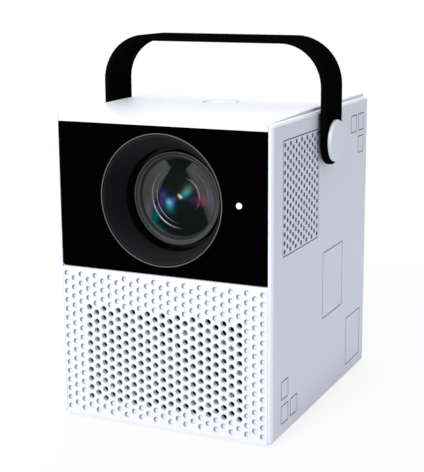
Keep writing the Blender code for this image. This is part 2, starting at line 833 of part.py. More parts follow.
def front_window():
    """The black glass over the lens half of the front."""

    def outline(inset):
        radius = WINDOW_EDGE + WINDOW_CORNER - inset
        low = WINDOW_BOTTOM + inset
        return rounded_rectangle(-CORE_HALF + inset, low, CORE_HALF - inset, WINDOW_TOP - inset, radius)

    status = circumscribed(STATUS_RADIUS + GAP, ROUND_TINY)
    return plate(
        "front_window",
        BLACK_GLOSS,
        outline,
        [(WINDOW_EDGE, 0.0), (0.0, WINDOW_EDGE), (0.0, WINDOW_THICKNESS)],
        facing_front(0.0),
        holes=[
            circle(0.0, OPENING_Z, lens_mouth(), ROUND_LARGE),
            circle(STATUS_OFFSET, OPENING_Z + STATUS_RISE, status, ROUND_TINY),
        ],
    )


def status_window():
    """The small white light guide beside the lens."""
    profile = [
        (0.0, 0.0),
        (STATUS_RADIUS, 0.0),
        (STATUS_RADIUS, WINDOW_THICKNESS),
        (0.0, WINDOW_THICKNESS),
    ]
    origin = (STATUS_OFFSET, FRONT, OPENING_Z + STATUS_RISE)
    return turned("status_window", STATUS_WHITE, profile, origin, "Y", ROUND_TINY)


def cover_profile():
    """Outline of the top cover in depth and height."""
    rim = WINDOW_TOP + GAP
    edge = COVER_EDGE
    crown_start = FRONT + edge
    outer = [(FRONT, rim), (FRONT, TOP_Z - edge)]
    outer += [(FRONT + edge * inset, TOP_Z - edge * (1 - depth)) for depth, inset in EDGE_SHARES[1:2]]
    outer += [(crown_start, TOP_Z)]
    for share in CROWN_SHARES:
        rise = CROWN_RISE * math.sin(share * math.pi / 2)
        outer.append((crown_start + share * CROWN_RUN, TOP_Z + rise))
    outer += [(BACK - edge, COVER_TOP)]
    outer += [(BACK - edge * (1 - depth), COVER_TOP - edge * inset) for depth, inset in EDGE_SHARES[1:2]]
    outer += [(BACK, COVER_TOP - edge), (BACK, rim)]
    under = TOP_Z - COVER_THICKNESS + CROWN_RISE
    inner_back = BACK - APRON_THICKNESS
    inner_front = FRONT + APRON_THICKNESS
    lower = TOP_Z - COVER_THICKNESS
    inner = [
        (inner_back, rim),
        (inner_back, under),
        (crown_start + CROWN_RUN, under),
        (inner_front, max(lower, rim + LIP_STEP)),
        (inner_front, rim),
    ]
    return outer + inner


def top_cover():
    """The crowned top cover with the round well of the button."""
    cover = finish_solid(
        "top_cover", extruded_mesh(cover_profile(), -CORE_HALF, CORE_HALF, along_x), WHITE_SHELL
    )
    radius = circumscribed(BUTTON_RADIUS + GAP, ROUND_MEDIUM)
    low = COVER_TOP - COVER_THICKNESS - OVERRUN
    profile = [(0.0, COVER_TOP + OVERRUN), (radius, COVER_TOP + OVERRUN), (radius, low), (0.0, low)]
    well = turned("button_well", WHITE_SHELL, profile, (0.0, 0.0, 0.0), "Z", ROUND_MEDIUM)
    return boolean(cover, well, "DIFFERENCE")


def cover_underside():
    """Height of the flat underside of the top cover."""
    return COVER_TOP - COVER_THICKNESS


def power_button():
    """The round button with the flange that keeps it in the cover and its stem."""
    under = cover_underside() - GAP
    flange = BUTTON_RADIUS + BUTTON_FLANGE
    flange_low = under - BUTTON_FLANGE_HEIGHT
    profile = [
        (0.0, COVER_TOP),
        (BUTTON_RADIUS - BUTTON_EDGE, COVER_TOP),
        (BUTTON_RADIUS, COVER_TOP - BUTTON_EDGE),
        (BUTTON_RADIUS, under),
        (flange, under),
        (flange, flange_low),
        (BUTTON_STEM_RADIUS, flange_low),
        (BUTTON_STEM_RADIUS, flange_low - BUTTON_STEM_LENGTH),
        (0.0, flange_low - BUTTON_STEM_LENGTH),
    ]
    return turned("power_button", WHITE_SHELL, profile, (0.0, 0.0, 0.0), "Z", ROUND_MEDIUM)


def stem_end():
    """Height of the lower end of the button's stem."""
    return cover_underside() - GAP - BUTTON_FLANGE_HEIGHT - BUTTON_STEM_LENGTH


def button_housing():
    """The cup under the cover that guides the button and holds its switch."""
    bore = BUTTON_RADIUS + BUTTON_FLANGE + GAP
    floor = stem_end() - BUTTON_TRAVEL - GAP - SWITCH_HEIGHT - GAP
    top = cover_underside() - GAP
    profile = [
        (0.0, floor),
        (bore, floor),
        (bore, top),
        (bore + HOUSING_WALL, top),
        (bore + HOUSING_WALL, floor - HOUSING_WALL),
        (0.0, floor - HOUSING_WALL),
    ]
    return turned("button_housing", GREY_PLASTIC, profile, (0.0, 0.0, 0.0), "Z", ROUND_MEDIUM)


def tact_switch():
    """The small switch that the button's stem presses."""
    high = stem_end() - BUTTON_TRAVEL - GAP
    half = SWITCH_SIDE / 2
    low = (-half, -half, high - SWITCH_HEIGHT)
    return block("tact_switch", DARK_PLASTIC, low, (half, half, high))


def rear_vent_slots():
    """Upright vent slots in the upper half of the rear panel."""
    count = int(2 * (CORE_HALF - REAR_VENT_MARGIN) / REAR_SLOT_PITCH) + 1
    low = BASE_Z + REAR_VENT_LOW
    slots = []
    for index in range(count):
        middle = (index - (count - 1) / 2) * REAR_SLOT_PITCH
        half = REAR_SLOT_WIDTH / 2
        slots.append(rectangle(middle - half, low, middle + half, low + REAR_SLOT_HEIGHT))
    return slots


def around(centre_u, centre_v, width, height):
    """Rectangle round a centre."""
    half_u, half_v = width / 2, height / 2
    return rectangle(centre_u - half_u, centre_v - half_v, centre_u + half_u, centre_v + half_v)


def socket_bodies():
    """Centre and outer size of each socket behind the rear panel, spread over the boards."""
    sizes = {
        "hdmi_socket": (HDMI_OPENING[0] + 2 * SOCKET_WALL, HDMI_OPENING[1] + 2 * SOCKET_WALL),
        "usb_socket": (USB_OPENING[0] + 2 * SOCKET_WALL, USB_OPENING[1] + 2 * SOCKET_WALL),
        "audio_jack": (PORT_BODY, PORT_BODY),
    }
    near, _, far, _ = board_area(1)
    space = (far - near - sum(width for width, _ in sizes.values())) / (len(sizes) + 1)
    bodies = {}
    low = near
    for name, (width, height) in sizes.items():
        low += space
        bodies[name] = (low + width / 2, BOARD_TOP + GAP + height / 2, width, height)
        low += width
    near, _, far, _ = board_area(-1)
    width, height = INLET_OPENING[0] + 2 * INLET_WALL, INLET_OPENING[1] + 2 * INLET_WALL
    bodies["power_inlet"] = ((near + far) / 2, BOARD_TOP + GAP + height / 2, width, height)
    return bodies


def rear_panel():
    """The rear wall with vent slots and a cut-out for each socket."""

    def outline(inset):
        return rectangle(-CORE_HALF + inset, BASE_Z + inset, CORE_HALF - inset, WINDOW_TOP - inset)

    cutouts = []
    for across, height, wide, tall in socket_bodies().values():
        cutouts.append(around(across, height, wide + 2 * GAP, tall + 2 * GAP))
    return plate(
        "rear_panel",
        WHITE_SHELL,
        outline,
        [(WINDOW_EDGE, 0.0), (0.0, WINDOW_EDGE), (0.0, REAR_THICKNESS)],
        facing_back,
        holes=rear_vent_slots() + cutouts,
    )


def socket(name, finish, opening, fronts):
    """One socket: a box that stands in its cut-out of the rear panel."""
    across, height, wide, tall = socket_bodies()[name]
    body = around(across, height, wide, tall)
    rim = [(0.0, GAP), (0.0, GAP + PORT_DEPTH + PORT_BACK)]
    return plate(name, finish, lambda inset: body, rim, facing_back, fronts=[(opening, PORT_DEPTH)] + fronts)


def sockets():
    """All sockets on the boards."""
    bodies = socket_bodies()
    across, height, _, _ = bodies["hdmi_socket"]
    socket("hdmi_socket", STEEL, around(across, height, *HDMI_OPENING), [])
    across, height, _, _ = bodies["usb_socket"]
    socket("usb_socket", STEEL, around(across, height, *USB_OPENING), [])
    across, height, _, _ = bodies["audio_jack"]
    socket("audio_jack", DARK_PLASTIC, circle(across, height, PORT_BORE, ROUND_TINY), [])
    across, height, _, _ = bodies["power_inlet"]
    pins = []
    for side in (-1, 1):
        pin = circle(across + side * INLET_PIN_OFFSET, height, INLET_PIN_RADIUS, HOLE_SIDES)
        pins.append((pin, OVERRUN))
    socket("power_inlet", DARK_PLASTIC, around(across, height, *INLET_OPENING), pins)


def board_area(side):
    """Low and high corner of a circuit board: the main one is on the right."""
    near, far = BOARD_MIDDLE, CORE_HALF - BOARD_SIDE_MARGIN
    low_v = REAR_INNER - GAP - BOARD_LENGTH
    if side > 0:
        return near, low_v, far, REAR_INNER - GAP
    return -far, low_v, -near, REAR_INNER - GAP


def boss_centres():
    """Centres of the stand-offs under both boards."""
    centres = []
    for side in (-1, 1):
        low_u, low_v, high_u, high_v = board_area(side)
        for u in (low_u + BOSS_INSET, high_u - BOSS_INSET):
            for v in (low_v + BOSS_INSET, high_v - BOSS_INSET):
                centres.append((u, v))
    return centres


def base_plate():
    """The bottom plate with the stand-offs of the boards."""
    low_v = FRONT + GRILLE_THICKNESS + GAP
    area = rectangle(-CORE_HALF, low_v, CORE_HALF, REAR_INNER)
    bosses = [(circle(u, v, BOSS_RADIUS, ROUND_TINY), -BOSS_HEIGHT) for u, v in boss_centres()]
    return plate(
        "base_plate",
        DARK_PLASTIC,
        lambda inset: area,
        [(0.0, 0.0), (0.0, BASE_THICKNESS)],
        facing_up(BASE_Z + BASE_THICKNESS),
        fronts=bosses,
    )


def boards():
    """Both circuit boards on their stand-offs."""
    for name, side in (("power_board", -1), ("main_board", 1)):
        low_u, low_v, high_u, high_v = board_area(side)
        block(name, BOARD_GREEN, (low_u, low_v, BOARD_Z), (high_u, high_v, BOARD_TOP))


def transformer():
    """The mains transformer on the power board."""
    low_u, low_v, high_u, _ = board_area(-1)
    width, length, height = TRANSFORMER_SIZE
    middle = (low_u + high_u) / 2
    low = (middle - width / 2, low_v + BOSS_INSET, BOARD_TOP + GAP)
    high = (middle + width / 2, low_v + BOSS_INSET + length, BOARD_TOP + GAP + height)
    return block("transformer", AMBER_TAPE, low, high, TRANSFORMER_EDGE)


def mid_frame():
    """The shelf that carries the lens and light engine above the speakers."""
    low_v = FRONT + WINDOW_THICKNESS + GAP + FUNNEL_WALL + GAP
    return block("mid_frame", DARK_PLASTIC, (-CORE_HALF, low_v, SHELF_Z), (CORE_HALF, REAR_INNER, SHELF_TOP))


def feet():
    """Four rubber feet under the base plate."""
    profile = [
        (0.0, FOOT_HEIGHT),
        (FOOT_RADIUS, FOOT_HEIGHT),
        (FOOT_RADIUS, FOOT_CHAMFER),
        (FOOT_RADIUS - FOOT_CHAMFER, 0.0),
        (0.0, 0.0),
    ]
    along = BODY_DEPTH / 2 - FOOT_INSET
    across = HALF_WIDTH - FOOT_INSET
    for row, v in (("front", -along), ("rear", along)):
        for column, u in (("left", -across), ("right", across)):
            turned(f"foot_{row}_{column}", RUBBER, profile, (u, v, 0.0), "Z", ROUND_SMALL)


def lens_origin(distance=0.0):
    """A point of the lens axis behind the front plane."""
    return (0.0, FRONT + distance, LENS_Z)


def lens_ring():
    """The thin silver ring round the opening of the window."""
    outer = OPENING_RADIUS - GAP
    profile = [
        (outer, 0.0),
        (outer, WINDOW_THICKNESS),
        (outer - RING_WIDTH, WINDOW_THICKNESS),
        (outer - RING_WIDTH, 0.0),
    ]
    return turned("lens_ring", SILVER_TRIM, profile, (0.0, FRONT, OPENING_Z), "Y", ROUND_LARGE)


def lens_funnel():
    """The dark cone between the window and the lens, oblique because the lens stands lower."""
    mouth = OPENING_RADIUS - 2 * GAP - RING_WIDTH
    bore = circumscribed(mouth, ROUND_LARGE) - mouth
    mouth -= bore
    seat = WINDOW_THICKNESS + GAP
    end = GUIDE_RECESS - GAP
    flange = OPENING_RADIUS + FUNNEL_FLANGE
    profile = [
        (mouth - FUNNEL_WALL / 2, GAP),
        (FUNNEL_THROAT, FUNNEL_LENGTH),
        (FUNNEL_THROAT, end),
        (FUNNEL_THROAT + FUNNEL_WALL, end),
        (FUNNEL_THROAT + FUNNEL_WALL, FUNNEL_LENGTH),
        (mouth, seat + FUNNEL_WALL),
        (flange, seat + FUNNEL_WALL),
        (flange, seat),
        (mouth, seat),
        (mouth, GAP),
    ]
    cone = turned_mesh(profile, lens_origin(), "Y", ROUND_LARGE)
    for corner in cone.verts:
        if corner.co.y < FRONT + FUNNEL_LENGTH - WELD:
            corner.co.z += LENS_DROP
    return finish_solid("lens_funnel", cone, DARK_PLASTIC)


def guide_bore():
    """Corner radius of the bore that the barrel slides in."""
    return circumscribed(BARREL_RADIUS + GAP, ROUND_MEDIUM)


def lens_guide():
    """The fixed tube that the barrel slides in, with the flange that is screwed down."""
    flange_start = GUIDE_END - GUIDE_FLANGE_THICKNESS
    profile = [
        (guide_bore(), GUIDE_RECESS),
        (guide_bore(), GUIDE_END),
        (GUIDE_FLANGE, GUIDE_END),
        (GUIDE_FLANGE, flange_start),
        (GUIDE_RADIUS, flange_start),
        (GUIDE_RADIUS, GUIDE_RECESS),
    ]
    return turned("lens_guide", DARK_PLASTIC, profile, lens_origin(), "Y", ROUND_MEDIUM)


def lens_mount():
    """The upright wall on the shelf that holds the lens guide."""
    hole = circumscribed(GUIDE_RADIUS + GAP, ROUND_MEDIUM)
    half_width = GUIDE_FLANGE + MOUNT_MARGIN
    area = rectangle(-half_width, SHELF_TOP + GAP, half_width, LENS_Z + GUIDE_FLANGE)
    return plate(
        "lens_mount",
        GREY_PLASTIC,
        lambda inset: area,
        [(0.0, 0.0), (0.0, MOUNT_THICKNESS)],
        facing_front(MOUNT_RECESS),
        holes=[circle(0.0, LENS_Z, hole, ROUND_MEDIUM)],
    )


def lens_retainer():
    """The bevelled ring screwed into the front of the barrel."""
    end = LENS_RECESS + RETAINER_LENGTH
    profile = [
        (BARREL_RADIUS, LENS_RECESS + RETAINER_FACE / 2),
        (BARREL_RADIUS - RETAINER_FACE / 2, LENS_RECESS),
        (BARREL_RADIUS - RETAINER_FACE, LENS_RECESS),
        (RETAINER_BORE, end - RETAINER_FACE),
        (RETAINER_BORE, end),
        (BARREL_RADIUS, end),
    ]
    return turned("lens_retainer", GREY_PLASTIC, profile, lens_origin(), "Y", ROUND_LARGE)


def barrel_steps():
    """End of each step of the barrel's bore and start of the last one, front to back."""
    first_end = BARREL_START + GAP + SEAT_LENGTH
    second_end = first_end + INNER_SEAT_LENGTH
    third_end = second_end + GAP + INNER_LENS_EDGE + GAP
    rear_start = BARREL_END - REAR_LENS_EDGE - 2 * GAP
    return first_end, second_end, third_end, rear_start


def lens_barrel():
    """The sliding tube that holds the lens elements."""
    first_end, second_end, third_end, rear_start = barrel_steps()
    third = circumscribed(INNER_LENS_RADIUS + GAP, ROUND_MEDIUM)
    stop = INNER_LENS_RADIUS - INNER_STOP_WIDTH
    rear = circumscribed(REAR_LENS_RADIUS + GAP, ROUND_MEDIUM)
    profile = [
        (BARREL_RADIUS, BARREL_START),
        (BARREL_BORE, BARREL_START),
        (BARREL_BORE, first_end),
        (SEAT_BORE, first_end),
        (SEAT_BORE, second_end),
        (third, second_end),
        (third, third_end),
        (stop, third_end),
        (stop, rear_start),
        (rear, rear_start),
        (rear, BARREL_END),
        (BARREL_RADIUS, BARREL_END),
    ]
    return turned("lens_barrel", DARK_PLASTIC, profile, lens_origin(), "Y", ROUND_MEDIUM)


def front_lens():
    """The large front element, a dome that fills the retainer."""
    edge = BARREL_START + GAP / 2
    radius = RETAINER_BORE - 2 * GAP
    seat = inscribed(BARREL_BORE, ROUND_MEDIUM) - GAP
    curve = radius * FRONT_LENS_CURVE_SHARE
    profile = dome(radius, curve, edge, FRONT_DOME_STEPS, -1.0)
    profile += [(radius, edge), (seat, edge), (seat, edge + FRONT_LENS_EDGE), (0.0, edge + FRONT_LENS_EDGE)]
    return turned("front_lens", LENS_GLASS, profile, lens_origin(), "Y", ROUND_MEDIUM)


def inner_lens_ring():
    """The ring that keeps the second element in the barrel."""
    _, second_end, _, _ = barrel_steps()
    outer = inscribed(SEAT_BORE, ROUND_MEDIUM) - GAP
    end = second_end + GAP
    start = end - INNER_RING_LENGTH
    seat_end = second_end - GAP
    profile = [
        (outer, start),
        (INNER_RING_BORE, start + INNER_RING_LENGTH / 2),
        (INNER_RING_BORE, seat_end),
        (outer, seat_end),
    ]
    return turned("inner_lens_ring", GREY_PLASTIC, profile, lens_origin(), "Y", ROUND_MEDIUM)


def inner_lens():
    """The second element, behind its ring."""
    _, second_end, _, _ = barrel_steps()
    start = second_end + GAP
    flat = INNER_RING_BORE - GAP
    profile = dome(flat, flat * INNER_LENS_CURVE_SHARE, start, DOME_STEPS, -1.0)
    profile += [
        (flat, start),
        (INNER_LENS_RADIUS, start),
        (INNER_LENS_RADIUS, start + INNER_LENS_EDGE),
        (0.0, start + INNER_LENS_EDGE),
    ]
    return turned("inner_lens", LENS_GLASS, profile, lens_origin(), "Y", ROUND_MEDIUM)


def rear_lens():
    """The last element, in the rear end of the barrel."""
    *_, rear_start = barrel_steps()
    start = rear_start + GAP
    end = start + REAR_LENS_EDGE
    curve = REAR_LENS_RADIUS * REAR_LENS_CURVE_SHARE
    back = dome(REAR_LENS_RADIUS, curve, end, DOME_STEPS, 1.0)
    profile = [(0.0, start), (REAR_LENS_RADIUS, start), (REAR_LENS_RADIUS, end)] + back[::-1]
    return turned("rear_lens", LENS_GLASS, profile, lens_origin(), "Y", ROUND_MEDIUM)


def pitch_radius():
    """Pitch radius of the focus pinion."""
    return GEAR_MODULE * GEAR_TEETH / 2


def rack_faces():
    """Distances from the lens axis: back, root, pitch line and tip of the rack."""
    back = BARREL_RADIUS + GAP
    root = back + RACK_BACK
    pitch_line = root + ROOT_SHARE * GEAR_MODULE
    return back, root, pitch_line, pitch_line + TIP_SHARE * GEAR_MODULE


def tooth_half(offset):
    """Half the thickness of a tooth at a height above the pitch line."""
    return (math.pi * GEAR_MODULE / 2 - GEAR_BACKLASH) / 2 - offset * math.tan(PRESSURE_ANGLE)


def rack_centre():
    """Depth of the middle of the rack."""
    return FRONT + BARREL_END - RACK_INSET - RACK_LENGTH / 2


def focus_rack():
    """The toothed bar on the right side of the barrel."""
    back, root, _, tip = rack_faces()
    pitch = math.pi * GEAR_MODULE
    count = int(RACK_LENGTH / pitch)
    start, end = rack_centre() - RACK_LENGTH / 2, rack_centre() + RACK_LENGTH / 2
    half_tip = tooth_half(TIP_SHARE * GEAR_MODULE)
    half_root = tooth_half(-ROOT_SHARE * GEAR_MODULE)
    outline = [(back, start), (root, start)]
    for index in range(count):
        middle = rack_centre() + (index - (count - 1) / 2) * pitch
        outline += [
            (root, middle - half_root),
            (tip, middle - half_tip),
            (tip, middle + half_tip),
            (root, middle + half_root),
        ]
    outline += [(root, end), (back, end)]
    half = RACK_HEIGHT / 2
    mesh_data = extruded_mesh(outline, LENS_Z - half, LENS_Z + half, along_z)
    return finish_solid("focus_rack", mesh_data, ACETAL)


def pinion_place():
    """Axis of the pinion, beside the rack."""
    _, _, pitch_line, _ = rack_faces()
    return pitch_line + pitch_radius(), rack_centre()


def pinion_outline():
    """Gear outline round its own centre, with a gap that faces the middle tooth of the rack."""
    _, _, pitch_line, _ = rack_faces()
    count = int(RACK_LENGTH / (math.pi * GEAR_MODULE))
    turn = 0.5 if count % 2 else 0.0
    radius = pitch_radius()
    outline = []
    for index in range(GEAR_TEETH):
        middle = math.pi + math.tau * (index + turn) / GEAR_TEETH
        for offset, sign in ((-ROOT_SHARE, -1), (TIP_SHARE, -1), (TIP_SHARE, 1), (-ROOT_SHARE, 1)):
            height = radius + offset * GEAR_MODULE
            angle = middle + sign * tooth_half(offset * GEAR_MODULE) / height
            outline.append((height * math.cos(angle), height * math.sin(angle)))
    return outline


def focus_pinion():
    """The motor's pinion with its shaft."""
    across, along = pinion_place()
    half = GEAR_WIDTH / 2
    outline = [(across + u, along + v) for u, v in pinion_outline()]
    wheel = extruded_mesh(outline, LENS_Z - half, LENS_Z + half, along_z)
    gear = finish_solid("focus_pinion", wheel, ACETAL)
    low = LENS_Z - half - MOTOR_DROP - MOTOR_SOCKET + GAP
    shaft = circle(across, along, SHAFT_RADIUS, ROUND_TINY)
    rod = finish_solid("pinion_shaft", extruded_mesh(shaft, low, LENS_Z, along_z), STEEL)
    return boolean(gear, rod, "UNION")


def focus_motor():
    """The upright focus motor, which stands on the shelf."""
    across, along = pinion_place()
    top = LENS_Z - GEAR_WIDTH / 2 - MOTOR_DROP
    bore = circumscribed(SHAFT_RADIUS + GAP, ROUND_TINY)
    profile = [
        (0.0, top - MOTOR_SOCKET),
        (bore, top - MOTOR_SOCKET),
        (bore, top),
        (MOTOR_RADIUS, top),
        (MOTOR_RADIUS, SHELF_TOP + GAP),
        (0.0, SHELF_TOP + GAP),
    ]
    return turned("focus_motor", STEEL, profile, (across, along, 0.0), "Z", ROUND_SMALL)


def engine_stack():
    """Start and thickness of each plate of the light engine, front to back.

    What the plates leave of the length behind the lens is shared out between them.
    """
    swell = COLLIMATOR_CURVE - math.sqrt(COLLIMATOR_CURVE**2 - COLLIMATOR_RADIUS**2)
    plates = (
        ("front_fresnel", FRESNEL_THICKNESS, 0.0),
        ("image_panel", PANEL_GLASS_THICKNESS, 0.0),
        ("rear_fresnel", FRESNEL_THICKNESS, 0.0),
        ("collimator_lens", COLLIMATOR_THICKNESS, swell),
    )
    free = engine_length() - SINK_BASE - sum(thickness + bulge for _, thickness, bulge in plates)
    spacing = free * PLATE_SPACING_SHARE
    stack = {}
    start = ENGINE_RECESS
    for name, thickness, bulge in plates:
        start += bulge
        stack[name] = (start, thickness)
        start += thickness + spacing
    stack["heat_sink"] = (start - spacing + free * EMITTER_SPACE_SHARE, SINK_BASE)
    return stack


def engine_length():
    """Length of the light engine, from its first plate to the ends of the fins."""
    return REAR_INNER - FRONT - ENGINE_RECESS - ENGINE_REAR_SPACE


def cradle_bottom():
    """Height of the floor that the plates of the engine stand over."""
    return LENS_Z - PLATE_HALF_HEIGHT - GAP


def engine_plate(name, finish):
    """One upright plate of the engine, in its slots."""
    start, thickness = engine_stack()[name]
    low = (-PLATE_HALF_WIDTH, FRONT + start, LENS_Z - PLATE_HALF_HEIGHT)
    high = (PLATE_HALF_WIDTH, FRONT + start + thickness, LENS_Z + PLATE_HALF_HEIGHT)
    return block(name, finish, low, high)


def collimator_lens():
    """The moulded plate lens in front of the lamp."""
    plate_part = engine_plate("collimator_lens", LENS_GLASS)
    start, _ = engine_stack()["collimator_lens"]
    profile = dome(COLLIMATOR_RADIUS, COLLIMATOR_CURVE, 0.0, DOME_STEPS, -1.0)
    profile += [(COLLIMATOR_RADIUS, 0.0), (COLLIMATOR_RADIUS, OVERRUN), (0.0, OVERRUN)]
    place = lens_origin(start)
    swell = turned("collimator_dome", LENS_GLASS, profile, place, "Y", ROUND_SMALL)
    return boolean(plate_part, swell, "UNION")


def led_module():
    """The lamp: a metal board with its emitter, on the heat sink."""
    sink_start, _ = engine_stack()["heat_sink"]
    half = PLATE_HALF_HEIGHT - LED_BOARD_MARGIN
    start = sink_start - GAP - LED_BOARD_THICKNESS
    emitter = circle(0.0, LENS_Z, LED_RADIUS, ROUND_TINY)
    return plate(
        "led_module",
        ALUMINIUM,
        lambda inset: around(0.0, LENS_Z, 2 * half, 2 * half),
        [(0.0, 0.0), (0.0, LED_BOARD_THICKNESS)],
        facing_front(start),
        fronts=[(emitter, -LED_HEIGHT)],
    )


def heat_sink():
    """The finned heat sink behind the lamp."""
    start, thickness = engine_stack()["heat_sink"]
    count = int((2 * PLATE_HALF_WIDTH - SINK_FIN_THICKNESS) / SINK_FIN_PITCH) + 1
    base_end = FRONT + start + thickness
    fin_end = FRONT + ENGINE_RECESS + engine_length()
    outline = [(-PLATE_HALF_WIDTH, FRONT + start), (PLATE_HALF_WIDTH, FRONT + start)]
    outline += [(PLATE_HALF_WIDTH, base_end)]
    for index in reversed(range(count)):
        middle = (index - (count - 1) / 2) * SINK_FIN_PITCH
        half = SINK_FIN_THICKNESS / 2
        outline += [
            (middle + half, base_end),
            (middle + half, fin_end),
            (middle - half, fin_end),
            (middle - half, base_end),
        ]
    outline += [(-PLATE_HALF_WIDTH, base_end)]
    low, high = LENS_Z - PLATE_HALF_HEIGHT, LENS_Z + PLATE_HALF_HEIGHT
    mesh_data = extruded_mesh(outline, low, high, along_z)
    return finish_solid("heat_sink", mesh_data, ALUMINIUM)


def cradle_profile():
    """Comb outline of a cradle wall in depth and height, with a slot for each plate."""
    floor = SHELF_TOP + GAP
    crest = LENS_Z
    slot_floor = cradle_bottom()
    start = FRONT + ENGINE_RECESS - CRADLE_END
    sink_start, sink_thickness = engine_stack()["heat_sink"]
    end = FRONT + sink_start + sink_thickness + GAP + CRADLE_END
    outline = [(start, floor), (start, crest)]
    for plate_start, thickness in engine_stack().values():
        near = FRONT + plate_start - GAP
        far = FRONT + plate_start + thickness + GAP
        outline += [(near, crest), (near, slot_floor), (far, slot_floor), (far, crest)]
    outline += [(end, crest), (end, floor)]
    return outline


def engine_cradle():
    """The tray of the light engine: two slotted walls with a floor let in between them."""
    inner = PLATE_HALF_WIDTH - CRADLE_SLOT_INSET
    outer = PLATE_HALF_WIDTH + CRADLE_SLOT_WALL
    outline = cradle_profile()
    start, end = outline[0][0] + CRADLE_STEP, outline[-1][0] - CRADLE_STEP
    low = (-PLATE_HALF_WIDTH, start, SHELF_TOP + GAP + CRADLE_STEP)
    high = (PLATE_HALF_WIDTH, end, cradle_bottom() - CRADLE_STEP)
    body = block("engine_cradle", DARK_PLASTIC, low, high)
    for side, name in ((-1, "cradle_wall_left"), (1, "cradle_wall_right")):
        wall = extruded_mesh(outline, side * inner, side * outer, along_x)
        boolean(body, finish_solid(name, wall, DARK_PLASTIC), "UNION")
    return body


def engine_cover():
    """The lid of the light engine, which stands on the walls of the cradle."""
    outline = cradle_profile()
    start, end = outline[0][0], outline[-1][0]
    low = LENS_Z + GAP
    high = LENS_Z + PLATE_HALF_HEIGHT + GAP
    inner = PLATE_HALF_WIDTH + GAP
    outer = inner + COVER_WALL
    section = [
        (-outer, low),
        (-outer, high + COVER_WALL),
        (outer, high + COVER_WALL),
        (outer, low),
        (inner, low),
        (inner, high),
        (-inner, high),
        (-inner, low),
    ]
    mesh_data = extruded_mesh(section, start, end, along_y)
    return finish_solid("engine_cover", mesh_data, DARK_PLASTIC)


def fan_centre():
    """Centre of the fan, behind the vent of the left side panel."""
    low_u, low_v, high_u, high_v = vent_frame()
    return (low_u + high_u) / 2, (low_v + high_v) / 2


def inward_from_left(u, v, depth):
    """Place for plates seen from inside, next to the left side panel."""
    inner_face = -CORE_HALF + FAN_THICKNESS
    return (inner_face - depth, u, v)


def fan_sector(start, end):
    """One opening between two arms of the fan frame."""
    centre_u, centre_v = fan_centre()
    outer = inscribed(FAN_BORE, ROUND_MEDIUM) - GAP
    inner = FAN_HUB + GAP
    steps = FAN_SECTOR_STEPS
    points = []
    for radius, order in ((outer, range(steps + 1)), (inner, reversed(range(steps + 1)))):
        for step in order:
            angle = start + (end - start) * step / steps
            points.append((centre_u + radius * math.cos(angle), centre_v + radius * math.sin(angle)))
    return points


def fan_frame():
    """The square frame of the fan with the hub plate that carries the rotor."""
    centre_u, centre_v = fan_centre()
    area = around(centre_u, centre_v, FAN_SIDE, FAN_SIDE)
    floor = FAN_THICKNESS - FAN_PLATE
    bore = circle(centre_u, centre_v, FAN_BORE, ROUND_MEDIUM)
    hub = circle(centre_u, centre_v, FAN_HUB, ROUND_SMALL)
    openings = []
    for index in range(FAN_ARMS):
        start = math.tau * index / FAN_ARMS + FAN_ARM_ANGLE / 2
        openings.append(fan_sector(start, start + math.tau / FAN_ARMS - FAN_ARM_ANGLE))
    return plate(
        "fan_frame",
        DARK_PLASTIC,
        lambda inset: area,
        [(0.0, 0.0), (0.0, FAN_THICKNESS)],
        inward_from_left,
        fronts=[(bore, floor), (hub, floor - FAN_HUB_HEIGHT)],
        holes=openings,
    )


def rotor_blade(mesh_data, middle, start):
    """Add one pitched blade of the rotor, about its own axis along Z."""
    root = FAN_HUB - BLADE_ROOT
    tip = inscribed(FAN_BORE, ROUND_MEDIUM) - FAN_TIP_CLEARANCE
    corners = []
    for radius in (root, tip):
        half = BLADE_THICKNESS / 2 / radius
        for height, lean in ((start, -1), (start + BLADE_HEIGHT, 1)):
            for side in (-1, 1):
                angle = middle + lean * BLADE_TWIST + side * half
                point = (radius * math.cos(angle), radius * math.sin(angle), height)
                corners.append(mesh_data.verts.new(point))
    for face in ((0, 1, 3, 2), (4, 6, 7, 5), (0, 4, 5, 1), (2, 3, 7, 6), (0, 2, 6, 4), (1, 5, 7, 3)):
        mesh_data.faces.new([corners[index] for index in face])


def rotor_origin():
    """Point on the fan's axis where the rotor starts, a running gap off the hub plate."""
    centre_u, centre_v = fan_centre()
    return (-CORE_HALF + FAN_PLATE + FAN_HUB_HEIGHT + GAP, centre_u, centre_v)


def fan_rotor():
    """The hub cup of the fan with its pitched blades."""
    profile = [(0.0, 0.0), (FAN_HUB, 0.0), (FAN_HUB, ROTOR_HEIGHT), (0.0, ROTOR_HEIGHT)]
    rotor = turned("fan_rotor", DARK_PLASTIC, profile, rotor_origin(), "X", ROUND_SMALL)
    mesh_data = bmesh.new()
    start = (ROTOR_HEIGHT - BLADE_HEIGHT) / 2
    for index in range(ROTOR_BLADES):
        rotor_blade(mesh_data, math.tau * index / ROTOR_BLADES, start)
    bmesh.ops.transform(mesh_data, matrix=axis_frame(rotor_origin(), "X"), verts=mesh_data.verts)
    blades = finish_solid("rotor_blades", mesh_data, DARK_PLASTIC)
    return boolean(rotor, blades, "UNION")


def speaker_height():
    """Height of the axis of both speakers."""
    return BASE_Z + SPEAKER_WINDOW_LOW + SPEAKER_WINDOW_HEIGHT / 2


